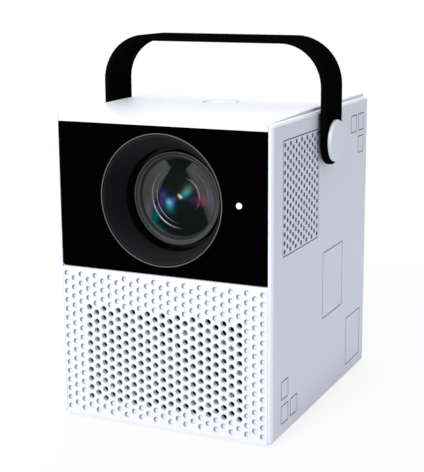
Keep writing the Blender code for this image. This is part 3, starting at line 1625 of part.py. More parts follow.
def speaker_basket(name, across):
    """One speaker frame with its magnet."""
    front = GRILLE_THICKNESS + GAP
    inner_rim = SPEAKER_RADIUS - SPEAKER_RIM_WIDTH
    back = front + SPEAKER_DEPTH
    profile = [
        (0.0, back - SPEAKER_WALL),
        (SPEAKER_BACK_RADIUS - SPEAKER_WALL, back - SPEAKER_WALL),
        (inner_rim - SPEAKER_WALL, front + SPEAKER_RIM_THICKNESS),
        (inner_rim, front),
        (SPEAKER_RADIUS, front),
        (SPEAKER_RADIUS, front + SPEAKER_RIM_THICKNESS),
        (inner_rim, front + SPEAKER_RIM_THICKNESS),
        (SPEAKER_BACK_RADIUS, back),
        (MAGNET_RADIUS, back),
        (MAGNET_RADIUS, back + MAGNET_THICKNESS),
        (0.0, back + MAGNET_THICKNESS),
    ]
    origin = (across, FRONT, speaker_height())
    return turned(name, STEEL, profile, origin, "Y", ROUND_SMALL)


def speaker_cone(name, across):
    """One speaker cone with its dust cap, inside the basket."""
    front = GRILLE_THICKNESS + GAP
    edge = SPEAKER_RADIUS - SPEAKER_RIM_WIDTH - SPEAKER_WALL - 2 * GAP
    start = front + SPEAKER_RIM_THICKNESS
    deep = front + SPEAKER_DEPTH - SPEAKER_WALL - GAP
    throat = SPEAKER_BACK_RADIUS - SPEAKER_WALL - 2 * GAP
    profile = [
        (0.0, deep - CONE_THICKNESS - DUST_CAP_RISE),
        (DUST_CAP_RADIUS, deep - CONE_THICKNESS),
        (throat - CONE_THICKNESS / 2, deep - CONE_THICKNESS),
        (edge - CONE_THICKNESS, start - CONE_THICKNESS),
        (edge, start - CONE_THICKNESS),
        (edge, start),
        (throat, deep),
        (0.0, deep),
    ]
    origin = (across, FRONT, speaker_height())
    return turned(name, PAPER_CONE, profile, origin, "Y", ROUND_SMALL)


def speakers():
    """Both speakers behind the grille."""
    for side, word in ((-1, "left"), (1, "right")):
        across = side * SPEAKER_OFFSET
        speaker_basket(f"speaker_frame_{word}", across)
        speaker_cone(f"speaker_cone_{word}", across)


def strap_edge():
    """Distance of the strap's outer face from the middle."""
    return HALF_WIDTH + STRAP_CLEARANCE + STRAP_THICKNESS


def strap_lengths():
    """Half the straight top, the length of a bend and the straight arm down to the pivot."""
    top = TOP_Z + STRAP_RISE
    straight_top = strap_edge() - STRAP_CORNER
    bend = STRAP_CORNER * math.pi / 2
    arm = top - STRAP_CORNER - PIVOT_Z
    return straight_top, bend, arm


def strap_place(along, across, depth):
    """Wrap a point of the flat strip round the bail: along runs from arm to arm."""
    straight_top, bend, _ = strap_lengths()
    side = math.copysign(1.0, along)
    run = abs(along)
    top = TOP_Z + STRAP_RISE
    radius = STRAP_CORNER - depth
    if run <= straight_top:
        return (along, across, top - depth)
    if run <= straight_top + bend:
        angle = (run - straight_top) / STRAP_CORNER
        x = straight_top + radius * math.sin(angle)
        return (side * x, across, top - STRAP_CORNER + radius * math.cos(angle))
    drop = run - straight_top - bend
    return (side * (strap_edge() - depth), across, top - STRAP_CORNER - drop)


def strap_stations():
    """Distances along the strip, arm to arm, where the bends have their facets."""
    straight_top, bend, _ = strap_lengths()
    right = [straight_top + bend * step / BEND_STEPS for step in range(BEND_STEPS + 1)]
    return [-distance for distance in reversed(right)] + right


def strap_outline(inset):
    """Outline of the flat strip with its round ends, anticlockwise."""
    half = STRAP_WIDTH / 2 - inset
    reach = sum(strap_lengths())
    stations = strap_stations()
    points = [(station, -half) for station in stations]
    for step in range(STRAP_END_STEPS + 1):
        angle = -math.pi / 2 + math.pi * step / STRAP_END_STEPS
        points.append((reach + half * math.cos(angle), half * math.sin(angle)))
    points += [(station, half) for station in reversed(stations)]
    for step in range(STRAP_END_STEPS + 1):
        angle = math.pi / 2 + math.pi * step / STRAP_END_STEPS
        points.append((-reach + half * math.cos(angle), half * math.sin(angle)))
    return points


def handle_strap():
    """The rigid carrying bail: one flat strip bent over the body."""
    stations = len(strap_stations())
    upper = stations + STRAP_END_STEPS + 1
    cuts = [(index, upper + stations - 1 - index) for index in range(stations)]
    reach = sum(strap_lengths())
    hole = circumscribed(PIN_RADIUS + GAP, ROUND_TINY)
    rim = [
        (STRAP_EDGE, 0.0),
        (0.0, STRAP_EDGE),
        (0.0, STRAP_THICKNESS - STRAP_EDGE),
        (STRAP_EDGE, STRAP_THICKNESS),
    ]
    return plate(
        "handle_strap",
        BLACK_STRAP,
        strap_outline,
        rim,
        strap_place,
        holes=[circle(side * reach, 0.0, hole, ROUND_TINY) for side in (-1, 1)],
        cuts=cuts,
    )


def mirrored(profile, side):
    """Turn a profile drawn along +X to the side where it belongs."""
    return [(radius, side * distance) for radius, distance in profile]


def pivot_cap(name, side):
    """The round cover disc on the strap, hollow over the pin's head."""
    start = strap_edge() + GAP
    end = start + CAP_THICKNESS
    recess = circumscribed(PIN_HEAD_RADIUS + GAP, ROUND_SMALL)
    depth = start + PIN_HEAD_HEIGHT + GAP
    profile = [
        (0.0, end),
        (CAP_RADIUS - CAP_EDGE, end),
        (CAP_RADIUS, end - CAP_EDGE),
        (CAP_RADIUS, start),
        (recess, start),
        (recess, depth),
        (0.0, depth),
    ]
    return turned(name, PALE_PANEL, mirrored(profile, side), (0.0, 0.0, PIVOT_Z), "X", ROUND_MEDIUM)


def bush_radius():
    """Outer radius of the pivot bush."""
    return circumscribed(PIN_RADIUS + GAP, ROUND_SMALL) + BUSH_WALL


def bush_end():
    """Distance of the inner end of the bush from the middle."""
    return HALF_WIDTH - PANEL_THICKNESS - BUSH_LENGTH


def pivot_pin(name, side):
    """The headed pin through the strap and the side panel."""
    head = strap_edge() + GAP
    end = bush_end() - GAP - NUT_THICKNESS
    profile = [
        (0.0, head + PIN_HEAD_HEIGHT),
        (PIN_HEAD_RADIUS, head + PIN_HEAD_HEIGHT),
        (PIN_HEAD_RADIUS, head),
        (PIN_RADIUS, head),
        (PIN_RADIUS, end),
        (0.0, end),
    ]
    return turned(name, STEEL, mirrored(profile, side), (0.0, 0.0, PIVOT_Z), "X", ROUND_SMALL)


def pivot_bush(name, side):
    """The flanged bush in the side panel that the pin turns in."""
    bore = circumscribed(PIN_RADIUS + GAP, ROUND_SMALL)
    seat = HALF_WIDTH + GAP
    flange_top = HALF_WIDTH + STRAP_CLEARANCE - GAP
    profile = [
        (bore, flange_top),
        (BUSH_FLANGE_RADIUS, flange_top),
        (BUSH_FLANGE_RADIUS, seat),
        (bush_radius(), seat),
        (bush_radius(), bush_end()),
        (bore, bush_end()),
    ]
    return turned(name, ACETAL, mirrored(profile, side), (0.0, 0.0, PIVOT_Z), "X", ROUND_SMALL)


def pivot_nut(name, side):
    """The friction nut on the inner end of the pin."""
    bore = circumscribed(PIN_RADIUS + GAP, ROUND_NUT)
    start = bush_end() - GAP
    end = start - NUT_THICKNESS
    profile = [(bore, start), (NUT_RADIUS, start), (NUT_RADIUS, end), (bore, end)]
    return turned(name, BRASS, mirrored(profile, side), (0.0, 0.0, PIVOT_Z), "X", ROUND_NUT)


def handle():
    """The bail with all that turns with it, on its pivot axis."""
    pieces = [handle_strap()]
    for side, word in ((-1, "left"), (1, "right")):
        pieces.append(pivot_cap(f"pivot_cap_{word}", side))
        pieces.append(pivot_pin(f"pivot_pin_{word}", side))
        pieces.append(pivot_nut(f"pivot_nut_{word}", side))
        pivot_bush(f"pivot_bush_{word}", side)
    carried_by("handle_axis", (0.0, 0.0, PIVOT_Z), pieces)


def body():
    """Shells, frames and feet."""
    side_panel("side_panel_left", -1, vent_louvres())
    side_panel("side_panel_right", 1, vent_holes())
    top_cover()
    rear_panel()
    base_plate()
    mid_frame()
    feet()


def front():
    """Window, grille, status light and what the lens sits in."""
    front_window()
    front_grille()
    status_window()
    lens_ring()
    lens_funnel()
    lens_guide()
    lens_mount()


def lens():
    """The sliding lens with its elements and rack, and the drive beside it."""
    pieces = [
        lens_barrel(),
        lens_retainer(),
        front_lens(),
        inner_lens_ring(),
        inner_lens(),
        rear_lens(),
        focus_rack(),
    ]
    carried_by("focus_axis", lens_origin(), pieces)
    across, along = pinion_place()
    carried_by("pinion_axis", (across, along, LENS_Z), [focus_pinion()])
    focus_motor()


def light_engine():
    """Lamp, optics and heat sink in their tray."""
    engine_cradle()
    engine_cover()
    engine_plate("front_fresnel", LENS_GLASS)
    engine_plate("image_panel", DARK_PLASTIC)
    engine_plate("rear_fresnel", LENS_GLASS)
    collimator_lens()
    led_module()
    heat_sink()


def electronics():
    """Fan, speakers, boards and sockets."""
    fan_frame()
    carried_by("fan_axis", rotor_origin(), [fan_rotor()])
    speakers()
    boards()
    transformer()
    sockets()


def button():
    """The power button on its axis, over its switch."""
    carried_by("button_axis", (0.0, 0.0, COVER_TOP), [power_button()])
    button_housing()
    tact_switch()


def main():
    """Build the whole projector."""
    clear_scene()
    body()
    front()
    lens()
    light_engine()
    electronics()
    button()
    handle()


main()
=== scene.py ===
"""Looks of a compact video projector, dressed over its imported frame.

Metres, +Z up, +X to the right of a viewer who faces the lens, -Y out of the lens.
"""

from __future__ import annotations

import json
import logging
import math
from collections.abc import Callable, Sequence
from dataclasses import dataclass, field
from enum import Enum
from functools import partial

import bmesh
import bpy
from mathutils import Matrix, Vector
from mathutils.geometry import delaunay_2d_cdt


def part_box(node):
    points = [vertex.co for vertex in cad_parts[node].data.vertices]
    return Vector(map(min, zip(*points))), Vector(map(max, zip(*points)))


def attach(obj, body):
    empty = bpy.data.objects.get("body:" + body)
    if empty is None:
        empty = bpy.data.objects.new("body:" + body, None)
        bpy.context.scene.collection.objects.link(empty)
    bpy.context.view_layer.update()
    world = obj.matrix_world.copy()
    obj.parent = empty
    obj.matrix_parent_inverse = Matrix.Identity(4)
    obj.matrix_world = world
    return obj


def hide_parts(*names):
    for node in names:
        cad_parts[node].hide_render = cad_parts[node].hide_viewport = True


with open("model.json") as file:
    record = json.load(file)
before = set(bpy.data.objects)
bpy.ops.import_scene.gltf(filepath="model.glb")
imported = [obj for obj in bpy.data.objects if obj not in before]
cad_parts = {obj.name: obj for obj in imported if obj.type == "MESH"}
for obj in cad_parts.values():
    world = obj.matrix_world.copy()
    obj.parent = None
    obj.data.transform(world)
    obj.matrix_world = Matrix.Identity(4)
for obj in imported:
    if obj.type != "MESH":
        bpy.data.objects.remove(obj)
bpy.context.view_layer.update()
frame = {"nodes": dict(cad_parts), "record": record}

LOG = logging.getLogger("projector")

Point = tuple[float, float]
Triple = tuple[float, float, float]
Loop = list[Point]
Steps = list[Point]
Outline = Callable[[float], Loop]
Place = Callable[[float, float, float], Triple]
Spot = tuple[float, float, float, float, float, Triple]
Crescent = tuple[float, float, float, float, float]
Mesh = bmesh.types.BMesh
Socket = bpy.types.NodeSocket
Sockets = bpy.types.bpy_prop_collection

MM = 0.001
MATCH = 1e-9
WELD = 1e-7

# Shares of a bevel's run and drop, of a rounding's longest side, and of a groove's width and depth

BEVEL_START_SHARES = ((1.0, 0.0), (0.93, 0.02), (0.84, 0.09))
BEVEL_END_SHARES = ((0.14, 0.78), (0.06, 0.88), (0.02, 0.98), (0.0, 1.15))
SIDE_SHARE = 0.45
GROOVE_SHARES = ((0.0, 0.0), (0.25, 1.0), (0.75, 1.0), (1.0, 0.0))
GROOVE_CORNER_SHARE = 1.2
SLOT_END_SHARE = 0.49

# Facets round a circle

LENS_FACETS = 160
DISC_FACETS = 96
BUTTON_FACETS = 72
BUSH_FACETS = 64
FOOT_FACETS = 48
SMALL_FACETS = 40
PIN_FACETS = 28
HOLE_FACETS = 20


class Axis(Enum):
    """Direction in which a turned piece runs, as the axis and the degrees that turn +Z there."""

    X = ("Y", 90.0)
    Y = ("X", -90.0)
    Z = ("Z", 0.0)


class Side(Enum):
    """One side of the case, by the sign of its X."""

    LEFT = -1
    RIGHT = 1


class WallShade(Enum):
    """Number of a material in a piece, for the walls of its cuts; the numbers after the main one hold
    painted shade.
    """

    MAIN = 0
    FIRST = 1
    SECOND = 2


# Outlines


def circle(u: float, v: float, radius: float, count: int) -> Loop:
    """Points of a circle about a centre, anticlockwise."""
    angles = [math.tau * i / count for i in range(count)]
    return [(u + radius * math.cos(angle), v + radius * math.sin(angle)) for angle in angles]


def rounded(low: Point, high: Point, radius: float, steps: int) -> Loop:
    """Points of a rectangle with round corners.

    Args:
        low: Lowest corner.
        high: Highest corner.
        radius: Radius of the corners.
        steps: Segments in each corner.

    Returns:
        The points, anticlockwise.
    """
    corners = (
        (high[0] - radius, low[1] + radius, -90.0), (high[0] - radius, high[1] - radius, 0.0),
        (low[0] + radius, high[1] - radius, 90.0), (low[0] + radius, low[1] + radius, 180.0),
    )
    points = []
    for u, v, start in corners:
        for step in range(steps + 1):
            angle = math.radians(start + 90.0 * step / steps)
            points.append((u + radius * math.cos(angle), v + radius * math.sin(angle)))
    return points


def around(middle: Point, size: Point, radius: float, steps: int) -> Loop:
    """Round-cornered rectangle of a size about a middle point."""
    (u, v), (half_u, half_v) = middle, (size[0] / 2, size[1] / 2)
    return rounded((u - half_u, v - half_v), (u + half_u, v + half_v), radius, steps)


def ring_at(u: float, v: float, radius: float, count: int) -> Outline:
    """A circle that can be grown by a width."""
    return lambda grow: circle(u, v, radius + grow, count)


def drawn_in_circle(u: float, v: float, radius: float, count: int) -> Outline:
    """A circle that can be drawn in by a width."""
    return lambda inset: circle(u, v, radius - inset, count)


def slot_at(middle: Point, size: Point, radius: float, steps: int) -> Outline:
    """A round-cornered rectangle that can be grown by a width."""
    return lambda grow: around(middle, (size[0] + 2 * grow, size[1] + 2 * grow), radius + grow, steps)


def drawn_in(low: Point, high: Point, radius: float, steps: int, least: float = 0.1 * MM) -> Outline:
    """A round-cornered rectangle that can be drawn in by a width, down to the least corner radius."""
    return lambda inset: rounded(
        (low[0] + inset, low[1] + inset),
        (high[0] - inset, high[1] - inset),
        max(radius - inset, least),
        steps,
    )


def round_edge(radius: float, steps: int = 5, guard: float = 0.4 * MM) -> Steps:
    """Rim steps of a rounded edge, with a narrow flat ring before it that keeps the face flat.

    Args:
        radius: Radius of the edge.
        steps: Segments of the rounding.
        guard: Width of the flat ring.

    Returns:
        Pairs of inset and depth, from the face to the side.
    """
    angles = [math.radians(90.0 * step / steps) for step in range(steps + 1)]
    arc = [(radius * (1 - math.sin(angle)), radius * (1 - math.cos(angle))) for angle in angles]
    return [(radius + guard, 0.0), *arc]


def both_edges(radius: float, thickness: float, steps: int, guard: float) -> Steps:
    """Rim steps of a plate that is rounded on both faces, each with a flat ring as guard."""
    top = round_edge(radius, steps, guard)
    return top + [(inset, thickness - depth) for inset, depth in reversed(top)]


def bevel(run: float, drop: float, guard: float = 0.4 * MM) -> Steps:
    """Rim steps of a flat bevel with soft ends, longer along the face than down the side."""
    shares = BEVEL_START_SHARES + BEVEL_END_SHARES
    return [(run + guard, 0.0)] + [(run * along, drop * down) for along, down in shares]


def soften(profile: Sequence[Point], radius: float, closed: bool, steps: int = 3) -> list[Point]:
    """Round the corners of a profile.

    Args:
        profile: Corner points.
        radius: How far from a corner its rounding starts, at most.
        closed: Whether the last point joins the first.
        steps: Segments of each rounding.

    Returns:
        The profile with rounded corners.
    """
    points: list[Point] = []
    count = len(profile)
    for i, corner in enumerate(profile):
        if not closed and i in (0, count - 1):
            points.append(corner)
            continue
        here = Vector(corner)
        before, after = Vector(profile[i - 1]) - here, Vector(profile[(i + 1) % count]) - here
        start = here + before.normalized() * min(radius, before.length * SIDE_SHARE)
        end = here + after.normalized() * min(radius, after.length * SIDE_SHARE)
        for step in range(steps + 1):
            t = step / steps
            spot = start * (1 - t) ** 2 + here * 2 * t * (1 - t) + end * t * t
            points.append((spot.x, spot.y))
    return points


def sag(radius: float, curve: float) -> float:
    """Height of a spherical cap, from the radius of its rim and that of the sphere."""
    return curve - math.sqrt(curve**2 - radius**2)


def dome(radius: float, curve: float, edge: float, toward: float, steps: int = 14) -> list[Point]:
    """Profile of a spherical cap from its tip to its rim, with the tip before or behind the rim."""
    parts = [radius * step / steps for step in range(steps + 1)]
    return [(part, edge + toward * (sag(radius, curve) - sag(part, curve))) for part in parts]


def spread(middle: float, count: int, pitch: float) -> list[float]:
    """Evenly spaced places about a middle."""
    return [middle + (index - (count - 1) / 2) * pitch for index in range(count)]


def staggered(middle: Point, columns: int, rows: int, pitch: Point) -> list[Point]:
    """Centres of a field of holes whose every second column has one less, half a step in.

    Args:
        middle: Middle of the field.
        columns: Number of columns.
        rows: Holes in the longer columns.
        pitch: Distance between columns and between rows.

    Returns:
        The centres.
    """
    spots = []
    for column, u in enumerate(spread(middle[0], columns, pitch[0])):
        spots += [(u, v) for v in spread(middle[1], rows - column % 2, pitch[1])]
    return spots


def centre_of(node: str) -> Point:
    """Centre of a node across and up."""
    low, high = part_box(node)
    return ((low.x + high.x) / 2, (low.z + high.z) / 2)


# Meshes


@dataclass
class Cut:
    """A hole, pocket or groove in the face of a plate, as rings of equal point counts.

    Its last field gives the number of the material on its walls, which holds painted shade unless it is
    the main one.
    """

    rings: list[tuple[Loop, float]]
    through: bool = False
    island: bool = False
    pointed: float | None = None
    wall_shade: WallShade = WallShade.MAIN


def hole(outline: Outline, thickness: float, edge: float, wall_shade: WallShade = WallShade.MAIN) -> Cut:
    """Through hole with a small chamfer on both faces."""
    steps = ((edge, 0.0), (0.0, edge), (0.0, thickness - edge), (edge, thickness))
    return Cut([(outline(grow), depth) for grow, depth in steps], through=True, wall_shade=wall_shade)


def groove(low: Point, high: Point, width: float, depth: float) -> Cut:
    """Engraved line round a rectangle.

    Args:
        low: Lowest outer corner.
        high: Highest outer corner.
        width: Width of the line.
        depth: Depth of the line.

    Returns:
        The cut, with the untouched face inside it.
    """
    ring = drawn_in(low, high, width * GROOVE_CORNER_SHARE, 2)
    rings = [(ring(width * inward), depth * down) for inward, down in GROOVE_SHARES]
    # The groove's walls take the first wall material, painted shade.
    return Cut(rings, island=True, wall_shade=WallShade.FIRST)


@dataclass
class Plate:
    """A flat moulding: an outline with a stepped rim, and the cuts in its face."""

    outline: Outline
    rim: Steps
    place: Place
    cuts: list[Cut] = field(default_factory=list)
    lines: list[tuple[int, int]] = field(default_factory=list)

    def build(self) -> Mesh:
        """Mesh of the plate.

        Returns:
            A closed mesh.
        """
        mesh = bmesh.new()
        front_loops = [(self.outline(self.rim[0][0]), True)]
        back_loops = [(self.outline(self.rim[-1][0]), True)]
        for cut in self.cuts:
            front_loops.append((cut.rings[0][0], False))
            if cut.island:
                front_loops.append((cut.rings[-1][0], True))
            if cut.through:
                back_loops.append((cut.rings[-1][0], False))
        front = self._face(mesh, front_loops, self.rim[0][1])
        back = self._face(mesh, back_loops, self.rim[-1][1])
        side = [(self.outline(inset), depth) for inset, depth in self.rim[1:-1]]
        self._walls(mesh, front.pop(0), side, back.pop(0))
        for cut in self.cuts:
            start = front.pop(0)
            end = front.pop(0) if cut.island else back.pop(0) if cut.through else None
            middle = cut.rings[1:] if end is None else cut.rings[1:-1]
            last = self._walls(mesh, start, middle, end, cut.wall_shade)
            if end is None:
                self._floor(mesh, last, cut)
        return mesh

    def _face(self, mesh: Mesh, loops: list[tuple[Loop, bool]], depth: float) -> list[list]:
        """Fill one face between its loops.

        Args:
            mesh: The mesh to add to.
            loops: The rim, then the cuts, outer ones before those that they hold, each with
                whether the face goes on inside it.
            depth: Depth of the face.

        Returns:
            The corners of each loop.
        """
        spots: list[Vector] = []
        faces: list[list[int]] = []
        for loop, _ in loops:
            faces.append(list(range(len(spots), len(spots) + len(loop))))
            spots += [Vector(point) for point in loop]
        points, _, triangles, origins, _, owners = delaunay_2d_cdt(spots, self.lines, faces, 1, MATCH)
        new_index = {old: new for new, olds in enumerate(origins) for old in olds}
        corners: dict[int, bmesh.types.BMVert] = {}

        def corner(index: int) -> bmesh.types.BMVert:
            """The mesh corner of a point of the filling.

            Args:
                index: Number of the point.

            Returns:
                Its corner, made when it is first asked for.
            """
            if index not in corners:
                corners[index] = mesh.verts.new(self.place(*points[index], depth))
            return corners[index]

        for triangle, owner in zip(triangles, owners, strict=True):
            if owner and loops[max(owner)][1]:
                mesh.faces.new([corner(index) for index in triangle])
        return [[corner(new_index[index]) for index in face] for face in faces]

    def _walls(
        self,
        mesh: Mesh,
        start: list,
        rings: list[tuple[Loop, float]],
        end: list | None,
        wall_shade: WallShade = WallShade.MAIN,
    ) -> list:
        """Join rings of corners, from a finished one through new ones to another.

        Args:
            mesh: The mesh to add to.
            start: Corners of the first ring.
            rings: Outline and depth of each new ring.
            end: Corners of the last ring, if it is made already.
            wall_shade: Number of the material, which holds painted shade unless it is the main one.

        Returns:
            Corners of the last ring.
        """
        chain = [start]
        chain += [[mesh.verts.new(self.place(u, v, depth)) for u, v in loop] for loop, depth in rings]
        if end is not None:
            chain.append(end)
        for first, second in zip(chain, chain[1:], strict=False):
            for i in range(len(first)):
                face = mesh.faces.new((first[i - 1], first[i], second[i], second[i - 1]))
                face.material_index = wall_shade.value
        return chain[-1]

    def _floor(self, mesh: Mesh, ring: list, cut: Cut) -> None:
        """Close the bottom of a pocket, flat or drawn to a point.

        Args:
            mesh: The mesh to add to.
            ring: Corners of the pocket's last ring.
            cut: The pocket.
        """
        if cut.pointed is None:
            mesh.faces.new(ring)
            return
        loop = cut.rings[-1][0]
        u, v = (sum(values) / len(loop) for values in zip(*loop, strict=True))
        tip = mesh.verts.new(self.place(u, v, cut.pointed))
        for i in range(len(ring)):
            mesh.faces.new((ring[i - 1], ring[i], tip))


def lathe(profile: Sequence[Point], origin: Sequence[float], axis: Axis, count: int) -> Mesh:
    """Turn a profile round an axis.

    Args:
        profile: Pairs of radius and distance. One that starts off the axis is a closed loop.
        origin: Point on the axis where distance is zero.
        axis: Direction of the axis.
        count: Segments round the axis.

    Returns:
        A closed mesh.
    """
    mesh = bmesh.new()
    rings = []
    for radius, distance in profile:
        ring = [(0.0, 0.0)] if radius < WELD else circle(0.0, 0.0, radius, count)
        rings.append([mesh.verts.new((u, v, distance)) for u, v in ring])
    pairs = list(zip(rings, rings[1:], strict=False))
    if profile[0][0] > WELD:
        pairs.append((rings[-1], rings[0]))
    for first, second in pairs:
        for i in range(count):
            corners = []
            for ring, order in ((first, (i - 1, i)), (second, (i, i - 1))):
                corners += [ring[j] for j in order] if len(ring) > 1 else ring
            if len(corners) > 2:
                mesh.faces.new(corners)
    hinge, angle = axis.value
    mesh.transform(Matrix.Translation(origin) @ Matrix.Rotation(math.radians(angle), 4, hinge))
    return mesh


def soft_box(low: Triple, high: Triple, edge: float, steps: int) -> Mesh:
    """Box with rounded edges.

    Args:
        low: Lowest corner.
        high: Highest corner.
        edge: Radius of the edges.
        steps: Segments of the rounding.

    Returns:
        A closed mesh.
    """
    guard, corner = edge * 0.5, edge * 1.6
    rim = both_edges(edge, high[2] - low[2], steps, guard)
    outline = drawn_in(low[:2], high[:2], corner, steps, 0.0)
    return Plate(outline, rim, lambda u, v, depth: (u, v, high[2] - depth)).build()


def mesh_data(name: str, mesh: Mesh) -> bpy.types.Mesh:
    """Turn a working mesh into mesh data, and free it."""
    data = bpy.data.meshes.new(name)
    mesh.to_mesh(data)
    mesh.free()
    return data


def put(name: str, data: bpy.types.ID) -> bpy.types.Object:
    """Put an object with this mesh, camera or lamp into the scene."""
    made = bpy.data.objects.new(name, data)
    bpy.context.scene.collection.objects.link(made)
    return made


def piece(
    name: str,
    meshes: Sequence[Mesh],
    finish: Finish,
    body: str,
    nodes: Sequence[str],
    crease: float = 32.0,
    wall_shades: Sequence[Finish] = (),
) -> None:
    """Make an object from closed meshes, and put it in place of the frame's nodes.

    Args:
        name: Name of the piece.
        meshes: Its closed meshes.
        finish: Its finish.
        body: The body that it rides on.
        nodes: The nodes that it stands for.
        crease: Angle in degrees from which an edge stays sharp.
        wall_shades: Finishes with painted shade for the walls of its cuts, from number one.
    """
    joined = bmesh.new()
    for mesh in meshes:
        bmesh.ops.recalc_face_normals(mesh, faces=mesh.faces)
        spare = mesh_data("spare", mesh)
        joined.from_mesh(spare)
        bpy.data.meshes.remove(spare)
    data = mesh_data(name, joined)
    for each in (finish, *wall_shades):
        data.materials.append(each.material())
    data.shade_smooth()
    data.set_sharp_from_angle(angle=math.radians(crease))
    made = put(name, data)
    if nodes:
        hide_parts(*nodes)
    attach(made, body)
    LOG.info("%s: %d faces, for %s", name, len(data.polygons), ", ".join(nodes) or "no node")


# Node trees


class Graph:
    """A thin hand on one node tree."""

    def __init__(self, tree: bpy.types.NodeTree, entry: str) -> None:
        """Hold the tree, and add the node of this type whose outputs are its entry."""
        self.tree = tree
        self.entry = self.add(entry).outputs

    def add(self, kind: str, inputs: dict | None = None, **settings: object) -> bpy.types.Node:
        """Add a node.

        Args:
            kind: Node type.
            inputs: Values or sockets for its inputs, by name or number.
            settings: Properties of the node.

        Returns:
            The node.
        """
        node = self.tree.nodes.new(kind)
        for name, value in settings.items():
            setattr(node, name, value)
        for key, value in (inputs or {}).items():
            self.feed(value, node.inputs[key])
        return node

    def feed(self, value: object, socket: Socket) -> None:
        """Link a socket to an input, or set its value.

        Args:
            value: A socket or a plain value.
            socket: The input.
        """
        if isinstance(value, Socket):
            self.tree.links.new(value, socket)
        else:
            socket.default_value = value

    def math(self, operation: str, first: object, second: object = 0.0, third: object = 0.0) -> Socket:
        """Result of a Math node."""
        return self.add("ShaderNodeMath", {0: first, 1: second, 2: third}, operation=operation).outputs[0]

    def squares(self, first: Socket, second: Socket) -> Socket:
        """Sum of two squares."""
        return self.math("MULTIPLY_ADD", first, first, self.math("MULTIPLY", second, second))

    def bell(self, value: Socket) -> Socket:
        """One where a value is zero, and less the larger it is."""
        return self.math("EXPONENT", self.math("MULTIPLY", value, -1.0))

    def vector(self, operation: str, first: object, second: object = None) -> Sockets:
        """Outputs of a Vector Math node, whose second input is the factor where it scales."""
        inputs = {} if second is None else {"Scale" if operation == "SCALE" else 1: second}
        return self.add("ShaderNodeVectorMath", {0: first, **inputs}, operation=operation).outputs

    def noise(self, place: Socket, scale: object, detail: float) -> Socket:
        """Value of a Noise Texture node."""
        inputs = {"Vector": place, "Scale": scale, "Detail": detail}
        return self.add("ShaderNodeTexNoise", inputs).outputs[0]

    def mix(self, factor: object, first: object, second: object, blend: str = "MIX") -> Socket:
        """Mix of two colours, with the second one's share as factor."""
        inputs = {0: factor, 6: first, 7: second}
        return self.add("ShaderNodeMix", inputs, data_type="RGBA", blend_type=blend).outputs[2]

    def fade(
        self, value: Socket, low: float, high: float, to_low: float = 0.0, to_high: float = 1.0
    ) -> Socket:
        """Smooth step of a value, between two places, from one level to another."""
        inputs = {0: value, 1: low, 2: high, 3: to_low, 4: to_high}
        return self.add("ShaderNodeMapRange", inputs, interpolation_type="SMOOTHSTEP").outputs[0]

    def clear_rays(self, rays: Sockets) -> Socket:
        """One for camera, mirror and transmission rays, from a Light Path node's outputs."""
        seen = self.math("MAXIMUM", rays["Is Camera Ray"], rays["Is Glossy Ray"])
        return self.math("MAXIMUM", seen, rays["Is Transmission Ray"])


def moulded_surface(graph: Graph) -> dict[str, Socket]:
    """Fine grain and slow drift of a moulded, rolled or cast surface.

    Args:
        graph: Graph of the group, with its inputs as entry.

    Returns:
        Its outputs.
    """
    entry = graph.entry
    slow_scale, slow_detail, fine_detail, middle = 28.0, 3.0, 2.0, 0.5
    tone_gain, rough_gain, grain_gain = 2.0, 1.5, 0.12
    slow = graph.noise(entry["Vector"], slow_scale, slow_detail)
    fine = graph.noise(entry["Vector"], entry["Grain Scale"], fine_detail)
    swing = graph.math("MULTIPLY", graph.math("SUBTRACT", slow, middle), entry["Drift"])
    gain = graph.math("MULTIPLY_ADD", swing, tone_gain, 1.0)
    grain = graph.math("SUBTRACT", fine, middle)
    rough = graph.math("MULTIPLY_ADD", grain, grain_gain, entry["Roughness"])
    return {
        "Colour": graph.vector("SCALE", entry["Colour"], gain)[0],
        "Roughness": graph.math("MULTIPLY_ADD", swing, rough_gain, rough),
        "Height": fine,
    }


def settled_dust(graph: Graph) -> dict[str, Socket]:
    """Thin dust on faces that look up.

    Args:
        graph: Graph of the group, with its inputs as entry.

    Returns:
        Its outputs.
    """
    entry = graph.entry
    normal = graph.add("ShaderNodeNewGeometry").outputs["Normal"]
    upward = graph.add("ShaderNodeSeparateXYZ", {0: normal}).outputs[2]
    speck_scale, speck_detail, speck_run = 900.0, 4.0, (0.45, 0.75)
    steepest, dust_tone, dust_gain = 0.4, (0.42, 0.42, 0.44, 1.0), 0.4
    specks = graph.noise(entry["Vector"], speck_scale, speck_detail)
    mask = graph.math("MULTIPLY", graph.fade(upward, steepest, 1.0), graph.fade(specks, *speck_run))
    mask = graph.math("MULTIPLY", mask, entry["Amount"])
    return {
        "Colour": graph.mix(mask, entry["Colour"], dust_tone),
        "Roughness": graph.math("MULTIPLY_ADD", mask, dust_gain, entry["Roughness"]),
    }


def lens_place(graph: Graph) -> dict[str, Socket]:
    """Place on the lens: across and up from its axis in millimetres, and the radius.

    Args:
        graph: Graph of the group, with its inputs as entry.

    Returns:
        Its outputs.
    """
    entry = graph.entry
    parts = graph.add("ShaderNodeSeparateXYZ", {0: entry["Vector"]}).outputs
    across = graph.math("DIVIDE", parts[0], MM)
    up = graph.math("DIVIDE", graph.math("SUBTRACT", parts[2], entry["Axis Height"]), MM)
    return {"Across": across, "Up": up, "Radius": graph.math("SQRT", graph.squares(across, up))}


def soft_spot(graph: Graph) -> dict[str, Socket]:
    """Soft oval spot, one at its centre and fading outwards: the mask of a painted glint.

    Args:
        graph: Graph of the group, with its inputs as entry.

    Returns:
        Its output.
    """
    entry = graph.entry
    across = graph.math("SUBTRACT", entry["Across"], entry["Centre Across"])
    up = graph.math("SUBTRACT", entry["Up"], entry["Centre Up"])
    across = graph.math("SUBTRACT", across, graph.math("MULTIPLY", up, entry["Lean"]))
    across, up = graph.math("DIVIDE", across, entry["Width"]), graph.math("DIVIDE", up, entry["Height"])
    return {"Mask": graph.bell(graph.squares(across, up))}


